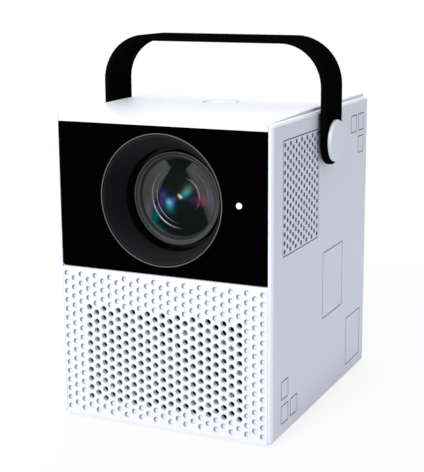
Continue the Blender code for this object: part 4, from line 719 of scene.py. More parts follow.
def crescent(graph: Graph) -> dict[str, Socket]:
    """Thin crescent on a circle round the lens axis, strongest in one direction: the mask of a painted
    highlight.

    Args:
        graph: Graph of the group, with its inputs as entry.

    Returns:
        Its output.
    """
    entry = graph.entry
    off = graph.math("SUBTRACT", entry["Radius"], entry["Line Radius"])
    off = graph.math("DIVIDE", off, entry["Line Width"])
    angle = graph.math("ARCTAN2", entry["Up"], entry["Across"])
    turn = graph.math("WRAP", graph.math("SUBTRACT", angle, entry["Toward"]), math.pi, -math.pi)
    share = graph.math("DIVIDE", graph.math("ABSOLUTE", turn), entry["Reach"])
    line, full_share = graph.bell(graph.math("MULTIPLY", off, off)), 0.25
    return {"Mask": graph.math("MULTIPLY", line, graph.fade(share, full_share, 1.0, 1.0, 0.0))}


SOCKET_KINDS = {"Vector": "NodeSocketVector", "Colour": "NodeSocketColor"}


@dataclass(frozen=True)
class Group:
    """A shader node group that finishes share, made when it is first used."""

    name: str
    fill: Callable[[Graph], dict[str, Socket]]
    inputs: tuple[str, ...]
    outputs: tuple[str, ...]

    def tree(self) -> bpy.types.NodeTree:
        """The group's tree.

        Returns:
            The tree, new or found by its name.
        """
        found = bpy.data.node_groups.get(self.name)
        if found:
            return found
        tree = bpy.data.node_groups.new(self.name, "ShaderNodeTree")
        for in_out, names in (("INPUT", self.inputs), ("OUTPUT", self.outputs)):
            for name in names:
                kind = SOCKET_KINDS.get(name, "NodeSocketFloat")
                tree.interface.new_socket(name=name, in_out=in_out, socket_type=kind)
        graph = Graph(tree, "NodeGroupInput")
        leave = graph.add("NodeGroupOutput").inputs
        for name, value in self.fill(graph).items():
            graph.feed(value, leave[name])
        return tree

    def use(self, graph: Graph, inputs: dict) -> Sockets:
        """Place the group in a material, and give its outputs."""
        return graph.add("ShaderNodeGroup", inputs, node_tree=self.tree()).outputs


MOULDED_SURFACE = Group(
    "moulded surface",
    moulded_surface,
    ("Vector", "Colour", "Drift", "Roughness", "Grain Scale"),
    ("Colour", "Roughness", "Height"),
)
SETTLED_DUST = Group(
    "settled dust", settled_dust, ("Vector", "Colour", "Roughness", "Amount"), ("Colour", "Roughness")
)
LENS_PLACE = Group("lens place", lens_place, ("Vector", "Axis Height"), ("Across", "Up", "Radius"))
SPOT_SHAPE = ("Centre Across", "Centre Up", "Width", "Height", "Lean")
SOFT_SPOT = Group("soft spot", soft_spot, ("Across", "Up", *SPOT_SHAPE), ("Mask",))
CRESCENT_SHAPE = ("Line Radius", "Line Width", "Toward", "Reach")
CRESCENT = Group("crescent", crescent, ("Across", "Up", "Radius", *CRESCENT_SHAPE), ("Mask",))


# Finishes


def colour(red: float, green: float, blue: float) -> tuple[float, float, float, float]:
    """An opaque colour."""
    return (red, green, blue, 1.0)


@dataclass(frozen=True)
class Finish:
    """A moulded, rolled or painted surface with grain, drift and a little dust."""

    name: str
    tone: Triple
    roughness: float
    metallic: float = 0.0
    specular: float = 0.5
    coat: float = 0.0
    coat_roughness: float = 0.08
    grain_scale: float = 2600.0
    grain_depth: float = 0.02
    drift: float = 0.02
    dust: float = 0.0
    glow: float = 0.0
    glow_tone: Triple | None = None

    def base(self, graph: Graph) -> object:
        """Colour under the grain, plain here and a socket in other finishes."""
        return colour(*self.tone)

    def grained(self, graph: Graph, base: object) -> Sockets:
        """Colour, roughness and height of the surface, with its grain over the base."""
        inputs = {"Drift": self.drift, "Roughness": self.roughness, "Grain Scale": self.grain_scale}
        return MOULDED_SURFACE.use(graph, {"Vector": graph.entry["Object"], "Colour": base, **inputs})

    def dress(self, graph: Graph, shader: Sockets, base: object) -> None:
        """Give the shader its colour, roughness, grain and glow.

        Args:
            graph: Graph of the material.
            shader: Inputs of its shader.
            base: Colour under the grain.
        """
        surface = self.grained(graph, base)
        shade, rough = surface["Colour"], surface["Roughness"]
        if self.dust:
            inputs = {"Colour": shade, "Roughness": rough, "Amount": self.dust}
            dusty = SETTLED_DUST.use(graph, {"Vector": graph.entry["Object"], **inputs})
            shade, rough = dusty["Colour"], dusty["Roughness"]
        graph.feed(shade, shader["Base Color"])
        graph.feed(rough, shader["Roughness"])
        inputs = {"Strength": 1.0, "Distance": self.grain_depth * MM, "Height": surface["Height"]}
        graph.feed(graph.add("ShaderNodeBump", inputs).outputs[0], shader["Normal"])
        if self.glow:
            graph.feed(colour(*self.glow_tone) if self.glow_tone else base, shader["Emission Color"])
            shader["Emission Strength"].default_value = self.glow

    def material(self) -> bpy.types.Material:
        """The material, made when it is first asked for.

        Returns:
            The material.
        """
        found = bpy.data.materials.get(self.name)
        if found:
            return found
        material = bpy.data.materials.new(self.name)
        material.use_nodes = True
        graph = Graph(material.node_tree, "ShaderNodeTexCoord")
        shader = material.node_tree.nodes["Principled BSDF"].inputs
        shader["Metallic"].default_value = self.metallic
        shader["Specular IOR Level"].default_value = self.specular
        shader["Coat Weight"].default_value = self.coat
        shader["Coat Roughness"].default_value = self.coat_roughness
        self.dress(graph, shader, self.base(graph))
        return material


@dataclass(frozen=True)
class PaintedFacingFinish(Finish):
    """Moulding whose tone shifts where it faces one way: the other tone is painted shade on the dimple
    walls and a painted highlight on the side panels' upward faces.
    """

    # Default other tone: painted shade on walls that face down and to the right, away from the front
    # lamp.
    other: Triple = (0.34, 0.34, 0.41)
    toward: Triple = (0.70, 0.0, -0.71)
    start: float = -0.75
    end: float = 0.35

    def base(self, graph: Graph) -> Socket:
        """Mix of both tones, the painted one where the surface faces that way.

        Args:
            graph: Graph of the material.

        Returns:
            The colour.
        """
        normal = graph.add("ShaderNodeNewGeometry").outputs["Normal"]
        turned = graph.vector("DOT_PRODUCT", normal, self.toward)["Value"]
        share = graph.fade(turned, self.start, self.end)
        return graph.mix(share, colour(*self.tone), colour(*self.other))


LENS_HEIGHT = centre_of("lens_barrel")[1]


@dataclass(frozen=True)
class LensFinish(Finish):
    """Surface round the lens axis, with painted reflections as soft colour spots, painted highlights as
    thin crescents on circles, and painted shade outside an edge.

    A spot is (across, up, width, height, lean, tone) and a crescent is (radius, width, toward,
    reach, weight), in millimetres and degrees.
    """

    axis_height: float = LENS_HEIGHT
    spots: tuple[Spot, ...] = ()
    crescents: tuple[Crescent, ...] = ()
    # Tone of the painted highlight crescents.
    light: Triple = (0.9, 0.9, 0.92)
    painted_shade_edge: float = 1000.0
    painted_shade_fade: float = 0.1
    painted_shade_tone: Triple = (0.0008, 0.0008, 0.0008)

    def on_lens(self, graph: Graph) -> tuple[Socket, Socket, Socket]:
        """Place on the lens: across, up and radius."""
        inputs = {"Vector": graph.entry["Object"], "Axis Height": self.axis_height}
        return tuple(LENS_PLACE.use(graph, inputs))

    def oval(self, graph: Graph, spot: Spot, across: Socket, up: Socket) -> Socket:
        """Mask of a colour spot."""
        shape = dict(zip(SPOT_SHAPE, spot[:-1], strict=True))
        return SOFT_SPOT.use(graph, {"Across": across, "Up": up, **shape})["Mask"]

    def base(self, graph: Graph) -> Socket:
        """The tone with its painted reflection spots and painted highlight crescents, in painted shade
        outside the edge.

        Args:
            graph: Graph of the material.

        Returns:
            The colour.
        """
        across, up, radius = self.on_lens(graph)
        base: object = colour(*self.tone)
        for spot in self.spots:
            base = graph.mix(self.oval(graph, spot, across, up), base, colour(*spot[-1]), "ADD")
        for line_radius, width, toward, reach, weight in self.crescents:
            values = (line_radius, width, math.radians(toward), math.radians(reach))
            shape = dict(zip(CRESCENT_SHAPE, values, strict=True))
            mask = CRESCENT.use(graph, {"Across": across, "Up": up, "Radius": radius, **shape})["Mask"]
            base = graph.mix(graph.math("MULTIPLY", mask, weight), base, colour(*self.light))
        outside = graph.fade(radius, self.painted_shade_edge, self.painted_shade_edge + self.painted_shade_fade)
        return graph.mix(outside, base, colour(*self.painted_shade_tone))


@dataclass(frozen=True)
class PaintedConeFinish(LensFinish):
    """Dark cone with painted shade that turns it black at its throat, and painted light that makes it a
    little lighter above and below.
    """

    painted_shade_start: float = 0.0
    painted_shade_end: float = 0.0
    painted_light_from: float = 6.0
    painted_light_to: float = 30.0
    painted_light_gain: Point = (0.9, 1.7)
    painted_throat_shade: Triple = (0.0006, 0.0006, 0.0006)

    def base(self, graph: Graph) -> Socket:
        """The cone's tone, with its painted light and painted shade.

        Args:
            graph: Graph of the material.

        Returns:
            The colour.
        """
        up = self.on_lens(graph)[1]
        depth = graph.add("ShaderNodeSeparateXYZ", {0: graph.entry["Object"]}).outputs[1]
        gain = graph.fade(graph.math("ABSOLUTE", up), self.painted_light_from, self.painted_light_to, *self.painted_light_gain)
        lit = graph.vector("SCALE", self.tone, gain)[0]
        share = graph.fade(depth, self.painted_shade_start, self.painted_shade_end)
        return graph.mix(share, lit, colour(*self.painted_throat_shade))


@dataclass(frozen=True)
class FrontLens(LensFinish):
    """Clear front element, with two painted reflections beside a dark waist and a few painted coloured
    glints, all shown as a faint glow.
    """

    neck_up: float = 14.3
    neck_half: float = 4.2
    flare: float = 0.86
    flanks: tuple[Point, ...] = ((4.2, 0.62), (5.5, 0.44), (8.9, 0.25))
    widest: float = 1000.0
    reflection_edge: Point = (-0.1, 0.6)
    reflection_tone: Triple = (0.044, 0.044, 0.044)
    reflection_run: Point = (6.0, 18.0)
    reflection_end: float = 0.72
    waist_tone: Triple = (0.0022, 0.0030, 0.0028)
    clear_alpha: float = 0.04
    reflection_alpha: float = 0.45
    glint_alpha: float = 0.7
    # Painted highlight round the element's rim.
    rim_highlight_run: Point = (18.9, 19.7)
    rim_highlight_tone: Triple = (0.030, 0.033, 0.036)
    # Painted coloured glints of the coating, shown as glow.
    spots: tuple[Spot, ...] = (
        (-14.2, -11.6, 2.3, 4.6, 0.5, (0.00, 0.055, 0.060)),
        (-17.9, -9.0, 1.5, 6.0, 0.3, (0.025, 0.032, 0.058)),
        (17.6, -2.0, 1.3, 9.0, -0.2, (0.030, 0.026, 0.060)),
        (12.9, -0.5, 2.6, 2.2, 0.0, (0.060, 0.009, 0.011)),
        (-10.4, -3.4, 0.9, 3.8, 0.15, (0.030, 0.006, 0.060)),
        (-11.9, -16.2, 3.0, 1.6, -0.6, (0.002, 0.040, 0.042)),
        (9.2, -0.8, 2.2, 1.6, 0.0, (0.015, 0.004, 0.022)),
    )

    def base(self, graph: Graph) -> object:
        """The plain tone, because the painted reflections show as a glow."""
        return colour(*self.tone)

    def waist(self, graph: Graph, up: Socket) -> Socket:
        """Half the width of the dark waist at a height.

        Args:
            graph: Graph of the material.
            up: Height above the lens axis.

        Returns:
            The half width.
        """
        below = graph.math("SUBTRACT", self.neck_up, up)
        half: object = self.widest
        for start, slope in self.flanks:
            half = graph.math("MINIMUM", half, graph.math("MULTIPLY_ADD", below, slope, start))
        return graph.math("MAXIMUM", half, graph.math("MULTIPLY_ADD", below, -self.flare, self.neck_half))

    def dress(self, graph: Graph, shader: Sockets, base: object) -> None:
        """Paint reflections, coloured glints and a rim highlight as a faint glow on clear glass.

        Args:
            graph: Graph of the material.
            shader: Inputs of its shader.
            base: Colour under the painted reflections.
        """
        across, up, radius = self.on_lens(graph)
        aside = graph.math("ABSOLUTE", across)
        reflection = graph.fade(graph.math("SUBTRACT", aside, self.waist(graph, up)), *self.reflection_edge)
        dim = graph.fade(aside, *self.reflection_run, 1.0, self.reflection_end)
        rim = graph.fade(radius, *self.rim_highlight_run)
        reflected = graph.vector("SCALE", self.reflection_tone, dim)[0]
        seen = graph.mix(reflection, colour(*self.waist_tone), reflected)
        seen = graph.mix(rim, seen, colour(*self.rim_highlight_tone))
        strength = rim
        for spot in self.spots:
            mask = self.oval(graph, spot, across, up)
            seen = graph.mix(mask, seen, colour(*spot[-1]), "ADD")
            strength = graph.math("MAXIMUM", mask, strength)
        alpha = graph.math("MULTIPLY_ADD", reflection, self.reflection_alpha - self.clear_alpha, self.clear_alpha)
        alpha = graph.math("MAXIMUM", alpha, graph.math("MULTIPLY", strength, self.glint_alpha))
        surface = self.grained(graph, seen)
        graph.feed(graph.vector("DIVIDE", surface["Colour"], alpha)[0], shader["Emission Color"])
        graph.feed(surface["Roughness"], shader["Roughness"])
        graph.feed(alpha, shader["Alpha"])
        graph.feed(base, shader["Base Color"])
        shader["Emission Strength"].default_value = 1.0


@dataclass(frozen=True)
class FloorFinish:
    """Pale floor that camera rays see almost white, and that keeps the object's soft shadow."""

    name: str = "pale floor"
    tone: Triple = (0.86, 0.87, 0.90)
    cloud_share: float = 0.985
    cloud_scale: float = 3.0
    roughness: float = 0.9
    seen_white: float = 0.86
    near: float = 0.10
    far: float = 0.45

    def material(self) -> bpy.types.Material:
        """The material.

        Returns:
            The material.
        """
        material = bpy.data.materials.new(self.name)
        material.use_nodes = True
        graph = Graph(material.node_tree, "ShaderNodeTexCoord")
        shader = material.node_tree.nodes["Principled BSDF"]
        place = graph.entry["Object"]
        clouds = graph.noise(place, self.cloud_scale, 2.0)
        darker = colour(*(self.cloud_share * part for part in self.tone))
        graph.feed(graph.mix(clouds, darker, colour(*self.tone)), shader.inputs["Base Color"])
        shader.inputs["Roughness"].default_value = self.roughness
        shader.inputs["Specular IOR Level"].default_value = 0.0
        glow = graph.add("ShaderNodeEmission", {"Color": colour(1.0, 1.0, 1.0), "Strength": 1.0})
        distance = graph.vector("LENGTH", place)["Value"]
        white = graph.fade(distance, self.near, self.far, self.seen_white, 1.0)
        rays = graph.clear_rays(graph.add("ShaderNodeLightPath").outputs)
        share = graph.math("MULTIPLY", rays, white)
        above = graph.add("ShaderNodeMixShader", {0: share, 1: shader.outputs[0], 2: glow.outputs[0]})
        below = graph.add("ShaderNodeBsdfTransparent").outputs[0]
        back = graph.add("ShaderNodeNewGeometry").outputs["Backfacing"]
        sides = graph.add("ShaderNodeMixShader", {0: back, 1: above.outputs[0], 2: below})
        graph.feed(sides.outputs[0], material.node_tree.nodes["Material Output"].inputs[0])
        return material


WHITE_SHELL = Finish(
    "white moulding", (0.84, 0.85, 0.88), 0.42, grain_depth=0.010, drift=0.006, dust=0.02
)
# Pivot discs: the white moulding as a darker shaded copy, for their side turned from the lamps.
SHADED_CAP_SHELL = Finish("pale cap moulding", (0.81, 0.82, 0.875), 0.40, grain_depth=0.008, drift=0.006)
# Side panels: the white moulding as a darker shaded copy, with a painted highlight where its faces look
# up.
SHADED_SIDE_SHELL = PaintedFacingFinish(
    "pale side moulding", (0.80, 0.815, 0.865), 0.46, grain_depth=0.012, drift=0.008, dust=0.02,
    other=(0.97, 0.975, 0.99), toward=(0.0, 0.0, 1.0), start=0.30, end=0.60,
)
# Grille dimple walls: painted shade on the side that faces away from the front lamp.
DIMPLE_WALL_SHADE = PaintedFacingFinish("dimple wall", WHITE_SHELL.tone, 0.50)
BLACK_GLASS = Finish(
    "black window glass", (0.0006, 0.0006, 0.0007), 0.06, specular=0.0, grain_depth=0.0, drift=0.05
)
STRAP_BLACK = Finish(
    "black strap moulding", (0.0022, 0.0022, 0.0024), 0.62, specular=0.0, grain_depth=0.03, drift=0.10
)
DARK_PLASTIC = Finish("dark plastic", (0.022, 0.022, 0.024), 0.50, specular=0.35, drift=0.08)
BARREL_BLACK = Finish(
    "barrel black", (0.0022, 0.0024, 0.0024), 0.55, specular=0.04, grain_depth=0.01, drift=0.08
)
GREY_PLASTIC = Finish("grey plastic", (0.20, 0.21, 0.22), 0.50, drift=0.05)
SILVER_TRIM = Finish(
    "silver trim", (0.15, 0.15, 0.155), 0.30, metallic=1.0, drift=0.04, grain_depth=0.004
)
STEEL = Finish("plated steel", (0.52, 0.53, 0.55), 0.30, metallic=1.0, drift=0.06, grain_depth=0.006)
ALUMINIUM = Finish(
    "milled aluminium", (0.70, 0.71, 0.73), 0.36, metallic=1.0, drift=0.05, grain_depth=0.01
)
BRASS = Finish("turned brass", (0.70, 0.53, 0.24), 0.28, metallic=1.0, drift=0.05)
RUBBER = Finish("foot rubber", (0.018, 0.018, 0.018), 0.82, specular=0.3, grain_depth=0.05, drift=0.15)
BOARD_GREEN = Finish("board lacquer", (0.012, 0.11, 0.04), 0.35, coat=0.4, drift=0.10)
ACETAL = Finish("natural acetal", (0.78, 0.77, 0.71), 0.42, drift=0.02)
PAPER_CONE = Finish(
    "pressed fibre", (0.080, 0.084, 0.100), 0.80, grain_scale=1400.0, grain_depth=0.10, drift=0.25
)
AMBER_TAPE = Finish("amber tape", (0.62, 0.38, 0.06), 0.35, coat=0.3, drift=0.06)
PLATE_GLASS = Finish("plate glass", (0.20, 0.26, 0.28), 0.06, drift=0.1, grain_depth=0.0)
FRONT_ELEMENT = FrontLens("front element", (0.0, 0.0, 0.0), 0.06, specular=0.0, drift=0.01)
REAR_ELEMENT = Finish("rear element", (0.20, 0.26, 0.28), 0.06, drift=0.1, grain_depth=0.0)
# Inner element: painted coating glints and a painted highlight crescent, made to glow.
INNER_ELEMENT = LensFinish(
    "inner element",
    (0.003, 0.004, 0.004),
    0.12,
    specular=0.0,
    grain_depth=0.0,
    glow=0.35,
    light=(0.7, 0.72, 0.74),
    crescents=((9.3, 0.20, 20.0, 62.0, 0.60),),
    spots=(
        (-6.7, -3.2, 2.0, 1.7, 0.0, (0.13, 0.26, 0.48)),
        (-7.2, -5.4, 2.6, 2.7, 0.0, (0.00, 0.16, 0.19)),
        (-13.0, -6.2, 1.2, 5.0, 0.15, (0.12, 0.04, 0.24)),
        (-10.6, -0.2, 2.2, 2.4, 0.2, (0.012, 0.05, 0.17)),
        (-3.6, -1.4, 1.2, 1.4, 0.0, (0.035, 0.03, 0.10)),
        (2.3, 1.6, 2.2, 2.0, 0.7, (0.00, 0.16, 0.165)),
        (3.6, 3.9, 2.2, 2.4, 0.4, (0.06, 0.10, 0.06)),
        (-0.9, 0.7, 0.60, 0.65, 0.0, (0.75, 0.50, 0.20)),
        (0.0, -0.1, 0.75, 0.60, 0.0, (0.45, 0.65, 0.50)),
        (6.6, -1.2, 2.4, 1.1, 0.0, (0.035, 0.012, 0.06)),
        (9.9, -0.6, 2.4, 1.7, 0.0, (0.075, 0.013, 0.024)),
    ),
)
# Retaining ring: painted highlight crescents on its edges, and painted shade beyond its outer edge.
RETAINER_RING = LensFinish(
    "retainer ring",
    (0.0215, 0.0235, 0.0235),
    0.42,
    specular=0.20,
    light=(0.195, 0.207, 0.206),
    painted_shade_edge=22.62,
    crescents=(
        (22.45, 0.22, 150.0, 260.0, 0.60),
        (20.75, 0.22, -60.0, 300.0, 0.35),
        (21.6, 0.9, -45.0, 80.0, 0.25),
    ),
)
# Inner ring: painted highlight crescents on its machined edges, made to glow.
INNER_RING = LensFinish(
    "inner ring",
    (0.0016, 0.0020, 0.0020),
    0.45,
    specular=0.0,
    glow=0.5,
    crescents=(
        (15.75, 0.24, 199.0, 76.0, 0.72),
        (13.5, 0.18, 191.0, 76.0, 0.40),
        (14.2, 0.20, 25.0, 45.0, 0.30),
    ),
)
OPAL_GUIDE = Finish("opal light guide", (0.92, 0.92, 0.93), 0.25, glow=0.35, glow_tone=(1.0, 1.0, 1.0))
# Walls of the gap round the button: painted shade.
WELL_SHADE = Finish("button well", (0.52, 0.53, 0.58), 0.50, drift=0.02)
SHADOW_INK = Finish("shaded line", (0.12, 0.12, 0.15), 0.60, drift=0.05)
# Walls of the side vents: painted shade in the holes.
VENT_WALL_SHADE = Finish("vent wall", (0.27, 0.28, 0.33), 0.60, drift=0.05)
PORT_PLASTIC = Finish("port plastic", (0.010, 0.010, 0.011), 0.50, drift=0.10)


# Sub-assemblies


@dataclass(frozen=True)
class Plan:
    """Main planes and axes of the projector, in metres, as the frame gives them."""

    front: float
    back: float
    half_width: float
    core_half: float
    base: float
    top: float
    cover_top: float
    window_low: float
    window_high: float
    grille_high: float
    shelf_top: float
    opening_height: float
    lens_height: float
    pivot_height: float

    @classmethod
    def read(cls) -> Plan:
        """Read the planes from the frame's nodes.

        Returns:
            The plan.
        """
        window_low, window_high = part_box("front_window")
        side_low, side_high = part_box("side_panel_right")
        strap_low, strap_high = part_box("handle_strap")
        return cls(
            front=window_low.y,
            back=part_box("rear_panel")[1].y,
            half_width=side_high.x,
            core_half=window_high.x,
            base=side_low.z,
            top=side_high.z,
            cover_top=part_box("top_cover")[1].z,
            window_low=window_low.z,
            window_high=window_high.z,
            grille_high=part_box("front_grille")[1].z,
            shelf_top=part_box("mid_frame")[1].z,
            opening_height=centre_of("lens_ring")[1],
            lens_height=LENS_HEIGHT,
            pivot_height=strap_low.z + strap_high.y,
        )

    def on_front(self, u: float, v: float, depth: float) -> Triple:
        """Point at a depth behind the front plane."""
        return (u, self.front + depth, v)

    def on_back(self, u: float, v: float, depth: float) -> Triple:
        """Point at a depth behind the rear wall's face."""
        return (u, self.back - depth, v)


@dataclass
class SidePanels:
    """Both side mouldings with vents, engraved squares and frames, and the hole of the pivot."""

    plan: Plan
    thickness: float = 2.3 * MM
    bevel_run: float = 1.35 * MM
    bevel_drop: float = 1.15 * MM
    inner_edge: float = 0.05 * MM
    corner: float = 1.8 * MM
    pivot_bore: float = 5.3 * MM
    vent_front: float = 12.2 * MM
    vent_top: float = 8.2 * MM
    vent_pivot_space: float = 8.6 * MM
    vent_shelf_space: float = 7.3 * MM
    vent_margin: float = 1.1 * MM
    vent_hole: float = 1.1 * MM
    vent_pitch: Point = (3.575 * MM, 4.133 * MM)
    louvre_height: float = 2.0 * MM
    louvre_pitch: float = 6.8 * MM
    hole_edge: float = 0.12 * MM
    line_width: float = 0.52 * MM
    line_depth: float = 0.40 * MM
    square_side: float = 9.3 * MM
    square_gap: float = 2.7 * MM
    front_square_shares: Point = (0.115, 0.0725)
    back_square_shares: Point = (0.9155, 0.9175)
    frame_shares: tuple = (((0.491, 0.287), (0.713, 0.519)), ((0.770, 0.043), (0.943, 0.221)))

    def vent_field(self) -> tuple[Point, Point]:
        """Lowest and highest corner of the vent's engraved frame."""
        low = (self.plan.front + self.vent_front, self.plan.shelf_top + self.vent_shelf_space)
        return low, (-self.vent_pivot_space, self.plan.top - self.vent_top)

    def spot(self, shares: Point) -> Point:
        """A point of the panel from its shares of depth and height."""
        plan = self.plan
        depth, height = plan.back - plan.front, plan.top - plan.base
        return (plan.front + shares[0] * depth, plan.base + shares[1] * height)

    def place(self, sign: int, u: float, v: float, depth: float) -> Triple:
        """Point of a panel at a depth under its face."""
        return (sign * (self.plan.half_width - depth), u, v)

    def ornament(self) -> list[Cut]:
        """Engraved squares and frames.

        Returns:
            Their grooves.
        """
        pitch, half = self.square_side + self.square_gap, self.square_side / 2
        (a, b), (c, d) = self.spot(self.front_square_shares), self.spot(self.back_square_shares)
        centres = ((a, b), (a, b + pitch), (a + pitch, b), (c, d), (c - pitch, d), (c, d - pitch))
        areas = [((u - half, v - half), (u + half, v + half)) for u, v in centres]
        areas += [(self.spot(low), self.spot(high)) for low, high in self.frame_shares]
        return [groove(low, high, self.line_width, self.line_depth) for low, high in areas]

    def vent(self, side: Side) -> list[Cut]:
        """Openings of the vent: round holes on the right, long slots on the left.

        Args:
            side: The side of the case.

        Returns:
            The openings.
        """
        low, high = self.vent_field()
        width, height = high[0] - low[0], high[1] - low[1]
        middle = ((low[0] + high[0]) / 2, (low[1] + high[1]) / 2)
        border = 2 * (self.vent_margin + self.vent_hole)
        if side is Side.RIGHT:
            columns = int((width - border) / self.vent_pitch[0]) + 1
            rows = int((height - border) / self.vent_pitch[1]) + 1
            spots = staggered(middle, columns, rows, self.vent_pitch)
            outlines = [ring_at(u, v, self.vent_hole, HOLE_FACETS) for u, v in spots]
        else:
            count = int((height - border - self.louvre_height) / self.louvre_pitch) + 1
            size, end = (width - border, self.louvre_height), self.louvre_height * SLOT_END_SHARE
            spots = [(middle[0], v) for v in spread(middle[1], count, self.louvre_pitch)]
            outlines = [slot_at(spot, size, end, 6) for spot in spots]
        # The vents' walls take the second wall material, painted shade.
        return [hole(outline, self.thickness, self.hole_edge, WallShade.SECOND) for outline in outlines]

    def build(self) -> None:
        """Build both panels."""
        plan = self.plan
        low, high = (plan.front, plan.base), (plan.back, plan.top)
        outline = drawn_in(low, high, self.corner, 8, self.inner_edge)
        inner = [(0.0, self.thickness - self.inner_edge), (self.inner_edge, self.thickness)]
        rim = bevel(self.bevel_run, self.bevel_drop) + inner
        vent_line = groove(*self.vent_field(), self.line_width, self.line_depth)
        bore = ring_at(0.0, plan.pivot_height, self.pivot_bore, BUSH_FACETS)
        # Painted shade for the walls of the grooves and of the vents.
        pivot, wall_shades = hole(bore, self.thickness, self.hole_edge), (SHADOW_INK, VENT_WALL_SHADE)
        for side in Side:
            cuts = [vent_line, *self.ornament(), *self.vent(side), pivot]
            mesh = Plate(outline, rim, partial(self.place, side.value), cuts).build()
            name, node = (f"side_{part}_{side.name.lower()}" for part in ("shell", "panel"))
            piece(name, [mesh], SHADED_SIDE_SHELL, "housing", [node], wall_shades=wall_shades)


@dataclass
class TopCover:
    """The crowned cover, its round button well and the button in it."""

    plan: Plan
    thickness: float = 2.6 * MM
    apron: float = 2.9 * MM
    apron_wall: float = 2.5 * MM
    edge: float = 1.6 * MM
    side_share: float = 0.35
    crown_run: float = 66.0 * MM
    crown_steps: int = 14
    crease: float = 28.0
    gap: float = 0.3 * MM
    button_radius: float = 8.5 * MM
    button_edge: float = 0.6 * MM
    button_lip: float = 0.1 * MM
    dish: float = 0.9 * MM
    dish_shares: Point = (0.5, 0.7)
    dish_rim: Point = (1.2 * MM, 0.02 * MM)
    flange_height: float = 2.0 * MM
    flange_thickness: float = 1.0 * MM
    stem_radius: float = 2.0 * MM

    def height(self, v: float) -> float:
        """Height of the cover's top at a depth.

        Args:
            v: Place along the depth of the case.

        Returns:
            The height.
        """
        plan = self.plan
        run = (v - plan.front - self.edge) / self.crown_run
        rise = math.sin(min(max(run, 0.0), 1.0) * math.pi / 2)
        return plan.top + rise * (plan.cover_top - plan.top)

    def place(self, u: float, v: float, depth: float) -> Triple:
        """Point of the cover under its top, with the apron's rim level above the window.

        Args:
            u: Place across.
            v: Place along the depth of the case.
            depth: Depth under the top.

        Returns:
            The point.
        """
        top = self.height(v)
        if depth <= self.thickness:
            return (u, v, top - depth)
        rim = self.plan.window_high + self.gap
        share = (depth - self.thickness) / (self.apron - self.thickness)
        return (u, v, top - self.thickness + share * (rim - top + self.thickness))

    def outline(self, inset: float) -> Loop:
        """The cover's plan, with a point at each step of the crown on both long sides.

        Args:
            inset: How far it is drawn in at the front and rear.

        Returns:
            The points.
        """
        plan = self.plan
        side_share = self.side_share if inset <= self.edge + self.apron_wall / 4 else 1.0
        side = plan.core_half - inset * side_share
        front, back = plan.front + inset, plan.back - inset
        steps = range(1, self.crown_steps + 1)
        crown = [plan.front + self.edge + self.crown_run * i / self.crown_steps for i in steps]
        left = [(-side, v) for v in reversed(crown)]
        right = [(side, v) for v in crown]
        return [(-side, front), (side, front), *right, (side, back), (-side, back), *left]

    def build(self) -> None:
        """Build the cover and the button."""
        last = len(self.outline(0.0)) - 1
        lines = [(2 + i, last - i) for i in range(self.crown_steps)]
        rim = round_edge(self.edge, 6) + [
            (0.0, self.thickness), (0.0, self.apron), (self.apron_wall, self.apron),
            (self.apron_wall, self.thickness),
        ]
        ring = ring_at(0.0, 0.0, self.button_radius + self.gap, BUTTON_FACETS)
        # The well's walls take painted shade.
        well = hole(ring, self.thickness, self.button_edge, WallShade.FIRST)
        mesh = Plate(self.outline, rim, self.place, [well], lines).build()
        nodes, wall_shades = ["top_cover"], [WELL_SHADE]
        piece("crowned_cover", [mesh], WHITE_SHELL, "housing", nodes, self.crease, wall_shades)
        self.button()

    def button(self) -> None:
        """Build the button, with its dished face, its flange and its stem."""
        low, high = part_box("power_button")
        radius, top, flange_low = self.button_radius, high.z, low.z + self.flange_height
        flange_high = flange_low + self.flange_thickness
        profile = [
            (0.0, top - self.dish), (radius * self.dish_shares[0], top - self.dish * self.dish_shares[1]),
            (radius - self.dish_rim[0], top - self.dish_rim[1]), (radius - self.button_edge, top),
            (radius - self.button_lip, top - self.button_lip), (radius, top - self.button_edge),
            (radius, flange_high), (high.x, flange_high), (high.x, flange_low),
            (self.stem_radius, flange_low), (self.stem_radius, low.z), (0.0, low.z),
        ]
        mesh = lathe(profile, (0.0, 0.0, 0.0), Axis.Z, BUTTON_FACETS)
        piece("round_button", [mesh], WHITE_SHELL, "power_button", ["power_button"])


